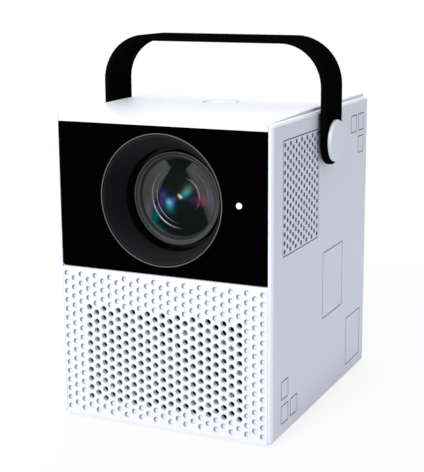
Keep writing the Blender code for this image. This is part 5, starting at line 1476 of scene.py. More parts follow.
@dataclass
class Grille:
    """The front grille: open holes before the speakers, blind dimples round them."""

    plan: Plan
    thickness: float = 2.6 * MM
    edge: float = 1.3 * MM
    side_edge: float = 0.05 * MM
    corner: float = 0.2 * MM
    hole_radius: float = 1.4 * MM
    hole_play: float = 0.09 * MM
    hole_edge: float = 0.14 * MM
    pitch: Point = (4.0 * MM, 4.58 * MM)
    margin: float = 0.5 * MM
    top_margin: float = 2.4 * MM
    dimple_depth: float = 1.25 * MM
    dimple_shares: tuple[Point, ...] = ((1.04, 0.0), (0.99, 0.08), (0.93, 0.84), (0.82, 0.95))
    side_play: float = 0.2 * MM
    window_size: Point = (82.0 * MM, 48.0 * MM)
    window_low: float = 9.2 * MM
    crease: float = 40.0

    def outline(self, inset: float) -> Loop:
        """The panel's outline, drawn in most at its top edge.

        Args:
            inset: How far it is drawn in at the top.

        Returns:
            The points.
        """
        plan = self.plan
        side = inset * self.side_edge / self.edge
        half = plan.core_half + self.side_play - side
        return rounded((-half, plan.base + side), (half, plan.grille_high - inset), self.corner, 2)

    def centres(self) -> list[Point]:
        """Centres of every hole and dimple.

        Returns:
            The centres, counted from the top middle.
        """
        plan = self.plan
        pairs = int((plan.core_half - self.margin - self.hole_radius) / self.pitch[0])
        high = plan.grille_high - self.top_margin - self.hole_radius
        low = plan.base + self.margin + self.hole_radius
        rows = int((high - low) / self.pitch[1]) + 1
        return staggered((0.0, high - (rows - 1) / 2 * self.pitch[1]), 2 * pairs + 1, rows, self.pitch)

    def is_open(self, u: float, v: float) -> bool:
        """Whether a hole goes through, in front of the speakers."""
        low = self.plan.base + self.window_low
        return abs(u) < self.window_size[0] / 2 and low < v < low + self.window_size[1]

    def cut(self, u: float, v: float) -> Cut:
        """A hole, or a blind cone with a rounded lip and tip.

        Args:
            u: Centre across.
            v: Centre up.

        Returns:
            The cut.
        """
        radius = self.hole_radius + self.hole_play
        if self.is_open(u, v):
            return hole(ring_at(u, v, radius, HOLE_FACETS), self.thickness, self.hole_edge)
        rings = [
            (circle(u, v, radius * wide, HOLE_FACETS), self.dimple_depth * deep)
            for wide, deep in self.dimple_shares
        ]
        # The dimple's walls take painted shade.
        return Cut(rings, pointed=self.dimple_depth, wall_shade=WallShade.FIRST)

    def build(self) -> None:
        """Build the grille."""
        cuts = [self.cut(u, v) for u, v in self.centres()]
        rim = round_edge(self.edge, 5) + [(0.0, self.thickness)]
        mesh = Plate(self.outline, rim, self.plan.on_front, cuts).build()
        nodes, wall_shades = ["front_grille"], [DIMPLE_WALL_SHADE]
        piece("speaker_grille", [mesh], WHITE_SHELL, "housing", nodes, self.crease, wall_shades)


@dataclass
class FrontWindow:
    """The black glass with its round opening, the silver ring and the status light."""

    plan: Plan
    thickness: float = 2.0 * MM
    edge: float = 0.3 * MM
    edge_guard: float = 0.2 * MM
    corner: float = 1.0 * MM
    opening: float = 32.0 * MM
    opening_edge: float = 0.08 * MM
    gap: float = 0.3 * MM
    ring_width: float = 0.6 * MM
    ring_edge: float = 0.2 * MM
    status_play: float = 0.15 * MM
    status_crown: float = 0.03 * MM
    status_edge: float = 0.2 * MM

    def glass(self, status: Point, radius: float) -> None:
        """Build the black glass.

        Args:
            status: Centre of the status light.
            radius: Radius of its light guide.
        """
        plan = self.plan
        low, high = (-plan.core_half, plan.window_low), (plan.core_half, plan.window_high)
        openings = (
            ring_at(0.0, plan.opening_height, self.opening, LENS_FACETS),
            ring_at(*status, radius + self.status_play, SMALL_FACETS),
        )
        cuts = [hole(outline, self.thickness, self.opening_edge) for outline in openings]
        rim = round_edge(self.edge, 4, self.edge_guard) + [(0.0, self.thickness)]
        mesh = Plate(drawn_in(low, high, self.edge + self.corner, 8), rim, plan.on_front, cuts).build()
        piece("window_glass", [mesh], BLACK_GLASS, "housing", ["front_window"])

    def build(self) -> None:
        """Build the glass, the ring and the light guide."""
        plan = self.plan
        low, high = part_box("status_window")
        status = centre_of("status_window")
        radius = (high.x - low.x) / 2 - self.status_play
        self.glass(status, radius)
        outer = self.opening - self.gap
        inner = outer - self.ring_width
        profile = [(outer, 0.0), (outer, self.thickness), (inner, self.thickness), (inner, 0.0)]
        origin = (0.0, plan.front, plan.opening_height)
        mesh = lathe(soften(profile, self.ring_edge, True), origin, Axis.Y, LENS_FACETS)
        piece("silver_ring", [mesh], SILVER_TRIM, "housing", ["lens_ring"])
        profile = [
            (0.0, 0.0), (radius - self.status_edge, self.status_crown), (radius, self.status_edge),
            (radius, self.thickness), (0.0, self.thickness),
        ]
        mesh = lathe(profile, (status[0], plan.front, status[1]), Axis.Y, SMALL_FACETS)
        piece("light_guide", [mesh], OPAL_GUIDE, "housing", ["status_window"])


@dataclass
class LensGroup:
    """Funnel, retaining rings and glass of the lens. Distances run back from the front plane."""

    plan: Plan
    opening: float = 32.0 * MM
    gap: float = 0.3 * MM
    wall: float = 1.4 * MM
    window_thickness: float = 2.0 * MM
    ring_width: float = 0.6 * MM
    throat: float = 24.9 * MM
    waist_widening: float = 2.4 * MM
    waist_share: float = 0.58
    funnel_length: float = 13.0 * MM
    funnel_edge: float = 0.5 * MM
    # Depths over which the cone's painted shade turns it black.
    painted_shade_run: Point = (12.2 * MM, 13.4 * MM)
    barrel: float = 22.7 * MM
    barrel_steps: Point = (2.1 * MM, 4.2 * MM)
    barrel_edge: float = 0.1 * MM
    lens_play: float = 0.35 * MM
    lens_lip: float = 1.5 * MM
    seat_play: float = 0.45 * MM
    bore: float = 19.6 * MM
    bore_start: float = 1.7 * MM
    retainer_edge: float = 0.12 * MM
    seat: float = 12.8 * MM
    front_radius: float = 19.0 * MM
    front_curve: float = 59.85 * MM
    inner_curve_share: float = 2.3
    rear_curve_share: float = 3.0
    retainer_steps: tuple[Point, ...] = (
        (0.0, 0.25 * MM), (0.25 * MM, 0.0), (0.75 * MM, 0.0), (0.95 * MM, 0.30 * MM),
        (1.65 * MM, 0.75 * MM), (1.85 * MM, 0.55 * MM), (2.15 * MM, 0.65 * MM),
    )
    inner_ring_steps: tuple[Point, ...] = (
        (16.3 * MM, 0.2 * MM), (15.9 * MM, 0.7 * MM), (14.0 * MM, 0.9 * MM), (13.6 * MM, 1.2 * MM),
    )
    inner_ring_lip: float = 1.3 * MM

    def turn(self, profile: Sequence[Point]) -> Mesh:
        """Turn a profile on the lens axis."""
        return lathe(profile, (0.0, self.plan.front, self.plan.lens_height), Axis.Y, LENS_FACETS)

    def depths(self, node: str) -> tuple[float, float]:
        """Start and end of a node behind the front plane."""
        low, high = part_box(node)
        return low.y - self.plan.front, high.y - self.plan.front

    def build(self) -> None:
        """Build the funnel, the rings and the glass."""
        self.funnel()
        self.barrel_tube()
        self.retainer()
        self.glass()
        self.inner_ring()

    def funnel(self) -> None:
        """The dark cone behind the silver ring, whose mouth is raised to the opening."""
        plan = self.plan
        mouth = self.opening - 2 * self.gap - self.ring_width
        start, end = self.depths("lens_funnel")
        seat = self.window_thickness + self.gap
        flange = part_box("lens_funnel")[1].x
        profile = [
            (mouth - self.wall / 2, start),
            (self.throat + self.waist_widening, self.funnel_length * self.waist_share),
            (self.throat, self.funnel_length), (self.throat, end), (self.throat + self.wall, end),
            (self.throat + self.wall, self.funnel_length), (mouth, seat + self.wall),
            (flange, seat + self.wall), (flange, seat), (mouth, seat), (mouth, start),
        ]
        mesh = self.turn(soften(profile, self.funnel_edge, True))
        raised = plan.opening_height - plan.lens_height
        for corner in mesh.verts:
            ahead = plan.front + self.funnel_length - corner.co.y
            share = ahead / (self.funnel_length - seat - self.wall)
            corner.co.z += raised * min(max(share, 0.0), 1.0)
        # The cone's finish paints shade towards its throat and light above and below.
        finish = PaintedConeFinish(
            "cone plastic",
            (0.0095, 0.0095, 0.0105),
            0.62,
            specular=0.08,
            drift=0.08,
            painted_shade_start=plan.front + self.painted_shade_run[0],
            painted_shade_end=plan.front + self.painted_shade_run[1],
        )
        piece("lens_cone", [mesh], finish, "housing", ["lens_funnel"])

    def barrel_tube(self) -> None:
        """The sliding barrel, smooth outside, stepped inside."""
        start, end = self.depths("lens_barrel")
        wide, narrow = (self.barrel - step for step in self.barrel_steps)
        seat_end = self.depths("front_lens")[1] + self.seat_play
        ring_end = self.depths("inner_lens_ring")[1] + self.gap
        lens_end = self.depths("inner_lens")[1] + self.gap
        rear_start = self.depths("rear_lens")[0] - self.gap
        inner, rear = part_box("inner_lens")[1].x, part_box("rear_lens")[1].x
        profile = [
            (self.barrel, start), (wide, start), (wide, seat_end), (narrow, seat_end), (narrow, ring_end),
            (inner + self.lens_play, ring_end), (inner + self.lens_play, lens_end),
            (inner - self.lens_lip, lens_end), (inner - self.lens_lip, rear_start),
            (rear + self.lens_play, rear_start), (rear + self.lens_play, end), (self.barrel, end),
        ]
        mesh = self.turn(soften(profile, self.barrel_edge, True, 2))
        piece("lens_tube", [mesh], BARREL_BLACK, "lens", ["lens_barrel"])

    def retainer(self) -> None:
        """The stepped ring that holds the front element."""
        start, end = self.depths("lens_retainer")
        profile = [(self.barrel, end)]
        profile += [(self.barrel - inward, start + down) for inward, down in self.retainer_steps]
        profile += [(self.bore, start + self.bore_start), (self.bore, end)]
        mesh = self.turn(soften(profile, self.retainer_edge, True))
        piece("retaining_ring", [mesh], RETAINER_RING, "lens", ["lens_retainer"])

    def domed(self, name: str, node: str, radius: float, curve: float, finish: Finish) -> None:
        """Build an element that is domed at the front, inside a flat rim.

        Args:
            name: Name of the piece.
            node: The node that it stands for.
            radius: Radius of the dome.
            curve: Radius of its sphere.
            finish: Its finish.
        """
        start, end = self.depths(node)
        rim, outer = start + sag(radius, curve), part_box(node)[1].x
        profile = dome(radius, curve, rim, -1.0) + [(outer, rim), (outer, end), (0.0, end)]
        piece(name, [self.turn(profile)], finish, "lens", [node])

    def glass(self) -> None:
        """The front, inner and rear elements."""
        flat, curve = self.seat - self.gap, self.inner_curve_share
        self.domed("front_element", "front_lens", self.front_radius, self.front_curve, FRONT_ELEMENT)
        self.domed("inner_element", "inner_lens", flat, flat * curve, INNER_ELEMENT)
        start, end = self.depths("rear_lens")
        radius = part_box("rear_lens")[1].x
        curve = radius * self.rear_curve_share
        rim = end - sag(radius, curve)
        profile = [(0.0, start), (radius, start)] + dome(radius, curve, rim, 1.0)[::-1]
        piece("rear_element", [self.turn(profile)], REAR_ELEMENT, "lens", ["rear_lens"])

    def inner_ring(self) -> None:
        """The stepped ring in front of the inner element, with painted highlights on its edges."""
        start, end = self.depths("inner_lens_ring")
        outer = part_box("inner_lens_ring")[1].x
        profile = [(outer, start)]
        profile += [(radius, start + down) for radius, down in self.inner_ring_steps]
        profile += [(self.seat, start + self.inner_ring_lip), (self.seat, end), (outer, end)]
        mesh = self.turn(soften(profile, self.barrel_edge, True, 2))
        piece("inner_ring", [mesh], INNER_RING, "lens", ["inner_lens_ring"])


@dataclass
class Bail:
    """The carrying bail with its cover discs, pins and bushes."""

    plan: Plan
    thickness: float = 3.1 * MM
    corner: float = 24.0 * MM
    edge: float = 0.6 * MM
    edge_guard: float = 0.3 * MM
    bend_steps: int = 28
    end_steps: int = 36
    crease: float = 40.0
    pin_hole: float = 3.45 * MM
    pin_hole_edge: float = 0.15 * MM
    reach_x: float = field(init=False)
    half: float = field(init=False)
    top: float = field(init=False)
    straight: float = field(init=False)
    bend: float = field(init=False)
    arm: float = field(init=False)

    def __post_init__(self) -> None:
        """Read the strap's size from the frame, and work out its stretches."""
        self.reach_x, self.half, self.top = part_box("handle_strap")[1]
        self.straight = self.reach_x - self.corner
        self.bend = self.corner * math.pi / 2
        self.arm = self.top - self.corner - self.plan.pivot_height

    def place(self, along: float, across: float, depth: float) -> Triple:
        """Point of the flat strip once it is bent over the body.

        Args:
            along: Place along the strip from its middle.
            across: Place across it.
            depth: Depth under its outer face.

        Returns:
            The point.
        """
        side, run = math.copysign(1.0, along), abs(along)
        radius = self.corner - depth
        if run <= self.straight:
            return (along, across, self.top - depth)
        if run <= self.straight + self.bend:
            angle = (run - self.straight) / self.corner
            x = self.straight + radius * math.sin(angle)
            return (side * x, across, self.top - self.corner + radius * math.cos(angle))
        drop = run - self.straight - self.bend
        return (side * (self.reach_x - depth), across, self.top - self.corner - drop)

    def stations(self) -> list[float]:
        """Distances along the strip where its bends have their facets."""
        right = [self.straight + self.bend * i / self.bend_steps for i in range(self.bend_steps + 1)]
        return [-run for run in reversed(right)] + right

    def outline(self, inset: float) -> Loop:
        """The flat strip with round ends.

        Args:
            inset: How far it is drawn in.

        Returns:
            The points.
        """
        half, reach = self.half - inset, self.straight + self.bend + self.arm
        points = []
        for sign, start, runs in ((1, -90.0, self.stations()), (-1, 90.0, self.stations()[::-1])):
            points += [(run, -sign * half) for run in runs]
            for step in range(self.end_steps + 1):
                angle = math.radians(start + 180.0 * step / self.end_steps)
                points.append((sign * reach + half * math.cos(angle), half * math.sin(angle)))
        return points

    def build(self) -> None:
        """Build the strap and the pivots."""
        count = len(self.stations())
        upper = count + self.end_steps + 1
        lines = [(i, upper + count - 1 - i) for i in range(count)]
        rim = both_edges(self.edge, self.thickness, 4, self.edge_guard)
        reach = self.straight + self.bend + self.arm
        rings = [ring_at(sign * reach, 0.0, self.pin_hole, SMALL_FACETS) for sign in (-1.0, 1.0)]
        pins = [hole(ring, self.thickness, self.pin_hole_edge) for ring in rings]
        mesh = Plate(self.outline, rim, self.place, pins, lines).build()
        nodes = ["handle_strap"]
        piece("carrying_bail", [mesh], STRAP_BLACK, "handle", nodes, self.crease)
        for side in Side:
            Pivot(self.plan, side).build()


@dataclass
class Pivot:
    """The cover disc, pin and bush that carry the bail on one side."""

    plan: Plan
    side: Side
    cap_edge: float = 0.5 * MM
    cap_rim: float = 0.2 * MM
    cap_middle_drop: float = 0.05 * MM
    cap_rim_inset: float = 2.0 * MM
    cap_rim_drop: float = 0.02 * MM
    cap_corner_share: float = 0.3
    cap_floor_share: float = 0.6
    cap_play: float = 0.35 * MM
    cap_soft: float = 0.25 * MM
    pin_soft: float = 0.15 * MM
    shank: float = 3.0 * MM
    head: float = 0.8 * MM
    bush_outer: float = 4.9 * MM
    gap: float = 0.3 * MM

    def turn(self, profile: Sequence[Point], count: int) -> list[Mesh]:
        """Turn a profile on the pivot axis, outwards on its side."""
        outward = [(radius, self.side.value * distance) for radius, distance in profile]
        return [lathe(outward, (0.0, 0.0, self.plan.pivot_height), Axis.X, count)]

    def disc(self, word: str) -> None:
        """The cover disc, made for the side of this word."""
        low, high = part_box("pivot_cap_right")
        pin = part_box("pivot_pin_right")[1]
        radius, corner = high.y, self.cap_corner_share * self.cap_edge
        pocket, floor = pin.y + self.cap_play, pin.x + self.cap_edge * self.cap_floor_share
        profile = [
            (0.0, high.x - self.cap_middle_drop),
            (radius - self.cap_rim_inset, high.x - self.cap_rim_drop),
            (radius - self.cap_edge - self.cap_rim, high.x), (radius - corner, high.x - corner),
            (radius, high.x - self.cap_edge - self.cap_rim), (radius, low.x), (pocket, low.x),
            (pocket, floor), (0.0, floor),
        ]
        meshes = self.turn(soften(profile, self.cap_soft, False), DISC_FACETS)
        piece(f"pivot_disc_{word}", meshes, SHADED_CAP_SHELL, "handle", [f"pivot_cap_{word}"])

    def screw(self, word: str) -> None:
        """The pivot pin, made for the side of this word."""
        low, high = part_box("pivot_pin_right")
        head = high.x - self.head
        profile = [(0.0, high.x), (high.y, high.x), (high.y, head)]
        profile += [(self.shank, head), (self.shank, low.x), (0.0, low.x)]
        meshes = self.turn(soften(profile, self.pin_soft, False), FOOT_FACETS)
        piece(f"pivot_screw_{word}", meshes, STEEL, "handle", [f"pivot_pin_{word}"])

    def bush(self, word: str) -> None:
        """The flanged bush, made for the side of this word."""
        low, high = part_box("pivot_bush_right")
        inner, seat = self.shank + self.gap, self.plan.half_width + self.gap
        profile = [(inner, high.x), (high.y, high.x), (high.y, seat)]
        profile += [(self.bush_outer, seat), (self.bush_outer, low.x), (inner, low.x)]
        meshes = self.turn(soften(profile, self.pin_soft, True), BUSH_FACETS)
        piece(f"flanged_bush_{word}", meshes, ACETAL, "housing", [f"pivot_bush_{word}"])

    def build(self) -> None:
        """Build the disc, the pin and the bush."""
        for make in (self.disc, self.screw, self.bush):
            make(self.side.name.lower())


@dataclass
class Rear:
    """The rear wall with its vent slots and sockets."""

    plan: Plan
    thickness: float = 2.6 * MM
    edge: float = 0.4 * MM
    edge_guard: float = 0.3 * MM
    corner: float = 0.6 * MM
    slot_size: Point = (2.0 * MM, 42.0 * MM)
    slot_pitch: float = 6.4 * MM
    slot_edge: float = 0.2 * MM
    vent_low: float = 88.0 * MM
    vent_margin: float = 15.0 * MM
    gap: float = 0.3 * MM
    cutout_edge: float = 0.12 * MM
    shell_corner: float = 0.5 * MM
    shell_edge: float = 0.15 * MM
    shell_guard: float = 0.05 * MM
    pocket_depth: float = 9.0 * MM
    root: float = 9.4 * MM
    carrier_edge: float = 0.12 * MM
    sockets: tuple[str, ...] = ("hdmi_socket", "usb_socket", "audio_jack", "power_inlet")
    video_half: Point = (7.0 * MM, 2.35 * MM)
    video_cut: float = 1.6 * MM
    video_carrier: Triple = (11.0 * MM, 0.9 * MM, 0.4 * MM)
    video_start: float = 2.0 * MM
    usb_mouth: Triple = (12.5 * MM, 5.1 * MM, 0.3 * MM)
    usb_carrier: Triple = (11.4 * MM, 1.7 * MM, 0.9 * MM)
    usb_start: float = 1.6 * MM
    audio_bore: float = 1.8 * MM
    mains_mouth: Triple = (16.8 * MM, 8.4 * MM, 4.0 * MM)
    mains_pin: tuple[Point, ...] = ((0.7 * MM, 8.0 * MM), (1.2 * MM, 7.4 * MM), (1.2 * MM, 0.0))
    mains_half_pitch: float = 4.3 * MM

    def wall(self) -> None:
        """Build the rear wall, with its vent slots and the cut-outs of the sockets."""
        plan = self.plan
        low, high = (-plan.core_half, plan.base), (plan.core_half, plan.window_high)
        count = int(2 * (plan.core_half - self.vent_margin) / self.slot_pitch) + 1
        middle = plan.base + self.vent_low + self.slot_size[1] / 2
        end = self.slot_size[0] * SLOT_END_SHARE
        places = spread(0.0, count, self.slot_pitch)
        slots = [slot_at((u, middle), self.slot_size, end, 6) for u in places]
        cuts = [hole(slot, self.thickness, self.slot_edge) for slot in slots]
        for name in self.sockets:
            near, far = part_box(name)
            size = (far.x - near.x + self.gap, far.z - near.z + self.gap)
            outline = slot_at(centre_of(name), size, self.shell_corner, 4)
            cuts.append(hole(outline, self.thickness, self.cutout_edge))
        rim = round_edge(self.edge, 4, self.edge_guard) + [(0.0, self.thickness)]
        mesh = Plate(drawn_in(low, high, self.corner, 4), rim, plan.on_back, cuts).build()
        piece("rear_wall", [mesh], WHITE_SHELL, "housing", ["rear_panel"])

    def shell(self, node: str, mouth: Loop, pips: Sequence[Mesh], finish: Finish, slot: str) -> None:
        """A socket's outer shell with the pocket that its plug enters.

        Args:
            node: The frame's node.
            mouth: Outline of the pocket.
            pips: Meshes that stand in the pocket.
            finish: Its finish.
            slot: The record's material slot; not used.
        """
        low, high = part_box(node)
        face = self.plan.back - high.y
        outline = drawn_in((low.x, low.z), (high.x, high.z), self.shell_corner, 3)
        edge = round_edge(self.shell_edge, 2, self.shell_guard)
        rim = [(inset, face + depth) for inset, depth in edge] + [(0.0, self.plan.back - low.y)]
        pocket = Cut([(mouth, face), (mouth, face + self.pocket_depth)])
        mesh = Plate(outline, rim, self.plan.on_back, [pocket]).build()
        piece(f"{node}_body", [mesh, *pips], finish, "housing", [node])

    def carrier(self, node: str, size: Triple, start: float) -> Mesh:
        """The flat contact carrier in a socket.

        Args:
            node: The frame's node of the socket.
            size: Its width, its height and how far it stands above the socket's centre.
            start: Its front end behind the rear face.

        Returns:
            Its mesh.
        """
        width, height, raised = size
        u, v = centre_of(node)
        low = (u - width / 2, self.plan.back - self.root, v + raised - height / 2)
        high = (u + width / 2, self.plan.back - start, v + raised + height / 2)
        return soft_box(low, high, self.carrier_edge, 2)

    def video_socket(self) -> None:
        """The video socket, whose lower corners are cut off."""
        u, v = centre_of("hdmi_socket")
        (half, tall), cut = self.video_half, self.video_cut
        right = [(half - cut, -tall), (half, -tall + cut), (half, tall)]
        corners = [(-half + cut, -tall), *right, (-half, tall), (-half, -tall + cut)]
        mouth = [(u + a, v + b) for a, b in corners]
        carrier = self.carrier("hdmi_socket", self.video_carrier, self.video_start)
        self.shell("hdmi_socket", mouth, [carrier], STEEL, "steel")

    def usb_socket(self) -> None:
        """The flat data socket."""
        width, height, corner = self.usb_mouth
        mouth = around(centre_of("usb_socket"), (width, height), corner, 2)
        carrier = self.carrier("usb_socket", self.usb_carrier, self.usb_start)
        self.shell("usb_socket", mouth, [carrier], STEEL, "steel")

    def audio_socket(self) -> None:
        """The round sound socket."""
        mouth = circle(*centre_of("audio_jack"), self.audio_bore, SMALL_FACETS)
        self.shell("audio_jack", mouth, [], PORT_PLASTIC, "dark_plastic")

    def mains_inlet(self) -> None:
        """The two-pin mains inlet."""
        u, v = centre_of("power_inlet")
        width, height, corner = self.mains_mouth
        profile = [(0.0, self.mains_pin[0][1]), *self.mains_pin, (0.0, 0.0)]
        root, places = self.plan.back - self.root, (u - self.mains_half_pitch, u + self.mains_half_pitch)
        pins = [lathe(profile, (place, root, v), Axis.Y, PIN_FACETS) for place in places]
        mouth = around((u, v), (width, height), corner, 8)
        self.shell("power_inlet", mouth, pins, PORT_PLASTIC, "dark_plastic")

    def build(self) -> None:
        """Build the wall and the sockets."""
        self.wall()
        self.video_socket()
        self.usb_socket()
        self.audio_socket()
        self.mains_inlet()


@dataclass
class Underside:
    """The base plate with its stand-offs, screws and feet."""

    plan: Plan
    plate_thickness: float = 2.5 * MM
    plate_edge: float = 0.6 * MM
    plate_guard: float = 0.2 * MM
    plate_corner: float = 0.8 * MM
    boss_radius: float = 2.8 * MM
    boss_bore: float = 1.0 * MM
    boss_inset: float = 5.0 * MM
    boss_sink: float = 0.2 * MM
    boss_edge: float = 0.2 * MM
    bore_depth: float = 3.0 * MM
    well_radius: float = 3.6 * MM
    well_depth: float = 1.4 * MM
    well_lip: float = 0.2 * MM
    screw_radius: float = 2.7 * MM
    screw_height: float = 0.95 * MM
    screw_edge: float = 0.5 * MM
    screw_guard: float = 0.1 * MM
    screw_play: float = 0.02 * MM
    cross_arm: Point = (1.5 * MM, 0.35 * MM)
    cross_depth: float = 0.5 * MM
    screw_spot: Point = (44.6 * MM, 40.5 * MM)
    foot_edge: float = 0.35 * MM
    foot_soft: float = 0.1 * MM
    foot_groove: float = 0.18 * MM
    foot_groove_shares: tuple[Point, ...] = ((0.62, 0.0), (0.55, 1.0), (0.40, 1.0), (0.33, 0.0))

    def screw_spots(self) -> list[Point]:
        """Centres of the four screws."""
        across, along = self.screw_spot
        return [(side * across, end * along) for side in (-1, 1) for end in (-1, 1)]

    def place(self, start: float, u: float, v: float, depth: float) -> Triple:
        """Point at a depth above a lower face."""
        return (u, v, start + depth)

    def boss(self, u: float, v: float) -> Mesh:
        """A stand-off with its screw hole.

        Args:
            u: Centre across.
            v: Centre along the depth.

        Returns:
            Its mesh.
        """
        top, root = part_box("base_plate")[1].z, self.plan.base + self.plate_thickness - self.boss_sink
        profile = [
            (0.0, root), (self.boss_radius, root), (self.boss_radius, top), (self.boss_bore, top),
            (self.boss_bore, top - self.bore_depth), (0.0, top - self.bore_depth),
        ]
        return lathe(soften(profile, self.boss_edge, False, 2), (u, v, 0.0), Axis.Z, PIN_FACETS)

    def screw(self, u: float, v: float) -> Mesh:
        """A pan-head screw with a cross recess.

        Args:
            u: Centre across.
            v: Centre along the depth.

        Returns:
            Its mesh.
        """
        start = self.plan.base + self.well_depth - self.screw_play - self.screw_height
        reach, half = self.cross_arm
        cross = []
        for angle in (math.radians(90.0 * turn) for turn in range(4)):
            cosine, sine = math.cos(angle), math.sin(angle)
            for a, b in ((half, -reach), (half, -half), (reach, -half)):
                cross.append((u + a * cosine - b * sine, v + a * sine + b * cosine))
        rim = round_edge(self.screw_edge, 4, self.screw_guard) + [(0.0, self.screw_height)]
        recess = Cut([(cross, 0.0), (cross, self.cross_depth)])
        outline = drawn_in_circle(u, v, self.screw_radius, SMALL_FACETS)
        return Plate(outline, rim, partial(self.place, start), [recess]).build()

    def plate(self) -> None:
        """Build the base plate, with its screw wells, and the screws."""
        cuts = []
        for u, v in self.screw_spots():
            wall = circle(u, v, self.well_radius - self.well_lip, SMALL_FACETS)
            mouth = circle(u, v, self.well_radius, SMALL_FACETS)
            cuts.append(Cut([(mouth, 0.0), (wall, self.well_lip), (wall, self.well_depth)]))
        rim = round_edge(self.plate_edge, 4, self.plate_guard) + [(0.0, self.plate_thickness)]
        low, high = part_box("base_plate")
        outline = drawn_in(low.xy, high.xy, self.plate_corner, 3, self.plate_corner)
        meshes = [Plate(outline, rim, partial(self.place, self.plan.base), cuts).build()]
        for board in ("power_board", "main_board"):
            low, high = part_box(board)
            for u in (low.x + self.boss_inset, high.x - self.boss_inset):
                meshes += [self.boss(u, v) for v in (low.y + self.boss_inset, high.y - self.boss_inset)]
        piece("base_tray", meshes, DARK_PLASTIC, "housing", ["base_plate"])
        screws = [self.screw(u, v) for u, v in self.screw_spots()]
        piece("base_screws", screws, STEEL, "housing", [])

    def foot(self, node: str) -> None:
        """Build a rubber foot with a ring groove in its sole.

        Args:
            node: The frame's node.
        """
        low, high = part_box(node)
        radius = (high.x - low.x) / 2
        profile = [(0.0, high.z), (radius, high.z), (radius, self.foot_edge)]
        profile.append((radius - self.foot_edge, 0.0))
        profile += [(radius * wide, self.foot_groove * deep) for wide, deep in self.foot_groove_shares]
        profile.append((0.0, 0.0))
        origin = ((low.x + high.x) / 2, (low.y + high.y) / 2, 0.0)
        mesh = lathe(soften(profile, self.foot_soft, False, 2), origin, Axis.Z, FOOT_FACETS)
        piece(f"rubber_{node}", [mesh], RUBBER, "housing", [node])

    def build(self) -> None:
        """Build the base plate and the feet."""
        self.plate()
        for row in ("front", "rear"):
            for column in ("left", "right"):
                self.foot(f"foot_{row}_{column}")


SLOT_FINISHES = {
    "dark_plastic": DARK_PLASTIC, "grey_plastic": GREY_PLASTIC,
    "lens_glass": PLATE_GLASS, "steel": STEEL,
    "aluminium": ALUMINIUM, "brass": BRASS,
    "board_green": BOARD_GREEN, "acetal": ACETAL,
    "paper_cone": PAPER_CONE, "amber_tape": AMBER_TAPE,
    "rubber": RUBBER, "white_shell": WHITE_SHELL,
    "pale_panel": SHADED_SIDE_SHELL, "black_gloss": BLACK_GLASS,
    "black_strap": STRAP_BLACK, "silver_trim": SILVER_TRIM,
    "status_white": WHITE_SHELL,
}


class Inside:
    """The pieces within the case, which keep the frame's own meshes."""

    def build(self) -> None:
        """Give every node of the frame its finish."""
        for part in frame["record"]["subparts"]:
            node = frame["nodes"][part["node"]]
            material = SLOT_FINISHES[part["material_slot"]].material()
            for slot in node.material_slots:
                slot.material = material
            if not node.material_slots:
                node.data.materials.append(material)


# Studio


@dataclass(frozen=True)
class Viewpoint:
    """The camera: its place, its turn, and the frame that it fills, in pixels."""

    place: Triple = (0.24783, -0.54010, 0.21647)
    azimuth: float = 24.061
    elevation: float = 12.156
    roll: float = -0.188
    focal_px: float = 1164.774
    centre_px: Point = (233.25, 225.25)
    image_px: tuple[int, int] = (424, 472)
    sensor: float = 36.0
    clip_start: float = 0.01

    def build(self) -> None:
        """Set the camera up."""
        turn, rise, roll = (math.radians(value) for value in (self.azimuth, self.elevation, self.roll))
        back = Vector((math.sin(turn) * math.cos(rise), -math.cos(turn) * math.cos(rise), math.sin(rise)))
        right = (-back).cross(Vector((0.0, 0.0, 1.0))).normalized()
        up = right.cross(-back)
        side = right * math.cos(roll) + up * math.sin(roll)
        above = up * math.cos(roll) - right * math.sin(roll)
        data = bpy.data.cameras.new("camera")
        longest = max(self.image_px)
        data.sensor_width = self.sensor
        data.lens = self.focal_px * self.sensor / longest
        data.shift_x = -(self.centre_px[0] - self.image_px[0] / 2) / longest
        data.shift_y = (self.centre_px[1] - self.image_px[1] / 2) / longest
        data.clip_start = self.clip_start
        camera = put("camera", data)
        turned = Matrix((side, above, back)).transposed().to_4x4()
        camera.matrix_world = Matrix.Translation(self.place) @ turned
        bpy.context.scene.camera = camera


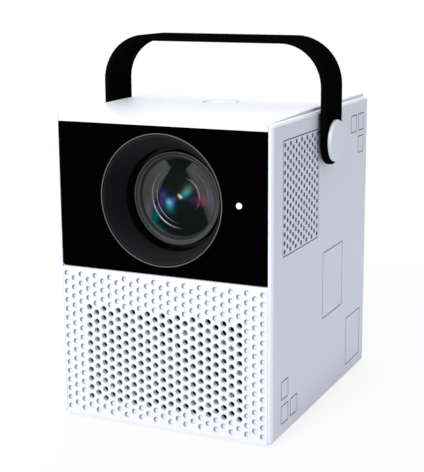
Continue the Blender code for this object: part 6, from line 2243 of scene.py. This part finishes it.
@dataclass(frozen=True)
class Lamp:
    """A soft panel lamp that looks at the projector."""

    name: str
    place: Triple
    size: float
    power: float
    tint: Triple = (1.0, 1.0, 1.0)
    target: Triple = (0.0, 0.0, 0.08)

    def build(self) -> None:
        """Set the lamp up."""
        data = bpy.data.lights.new(self.name, "AREA")
        data.shape = "DISK"
        data.size = self.size
        data.energy = self.power
        data.color = self.tint
        lamp = put(self.name, data)
        lamp.location = self.place
        aim = Vector(self.target) - Vector(self.place)
        lamp.rotation_euler = aim.to_track_quat("-Z", "Y").to_euler()


@dataclass(frozen=True)
class Studio:
    """Floor, surroundings and lamps."""

    ambient: Triple = (0.385, 0.40, 0.455)
    floor_half: float = 4.0
    floor_cells: int = 8
    floor_drop: float = 0.05 * MM
    lamps: tuple[Lamp, ...] = (
        Lamp("front lamp", (-0.20, -1.30, 0.90), 0.36, 13.0),
        Lamp("top lamp", (-0.25, -0.10, 1.40), 2.4, 9.6, (0.97, 0.98, 1.0)),
        Lamp("back lamp", (-0.30, 0.95, 1.10), 1.2, 7.4, (0.95, 0.97, 1.0)),
    )

    def build(self) -> None:
        """Set the studio up."""
        world = bpy.data.worlds.new("studio")
        world.use_nodes = True
        graph = Graph(world.node_tree, "ShaderNodeLightPath")
        tint = graph.mix(graph.clear_rays(graph.entry), colour(*self.ambient), colour(1.0, 1.0, 1.0))
        graph.feed(tint, world.node_tree.nodes["Background"].inputs["Color"])
        bpy.context.scene.world = world
        for lamp in self.lamps:
            lamp.build()
        mesh = bmesh.new()
        cells = self.floor_cells
        bmesh.ops.create_grid(mesh, x_segments=cells, y_segments=cells, size=self.floor_half)
        data = mesh_data("floor", mesh)
        data.materials.append(FloorFinish().material())
        floor = put("floor", data)
        floor.location.z = -self.floor_drop
        bpy.context.scene.view_settings.view_transform = "Standard"


def main() -> None:
    """Dress the projector and set the studio up round it."""
    logging.basicConfig(level=logging.INFO, format="%(message)s")
    plan = Plan.read()
    Inside().build()
    for assembly in (SidePanels, TopCover, Grille, FrontWindow, LensGroup, Bail, Rear, Underside):
        assembly(plan).build()
    Viewpoint().build()
    Studio().build()


if __name__ == "__main__":
    main()
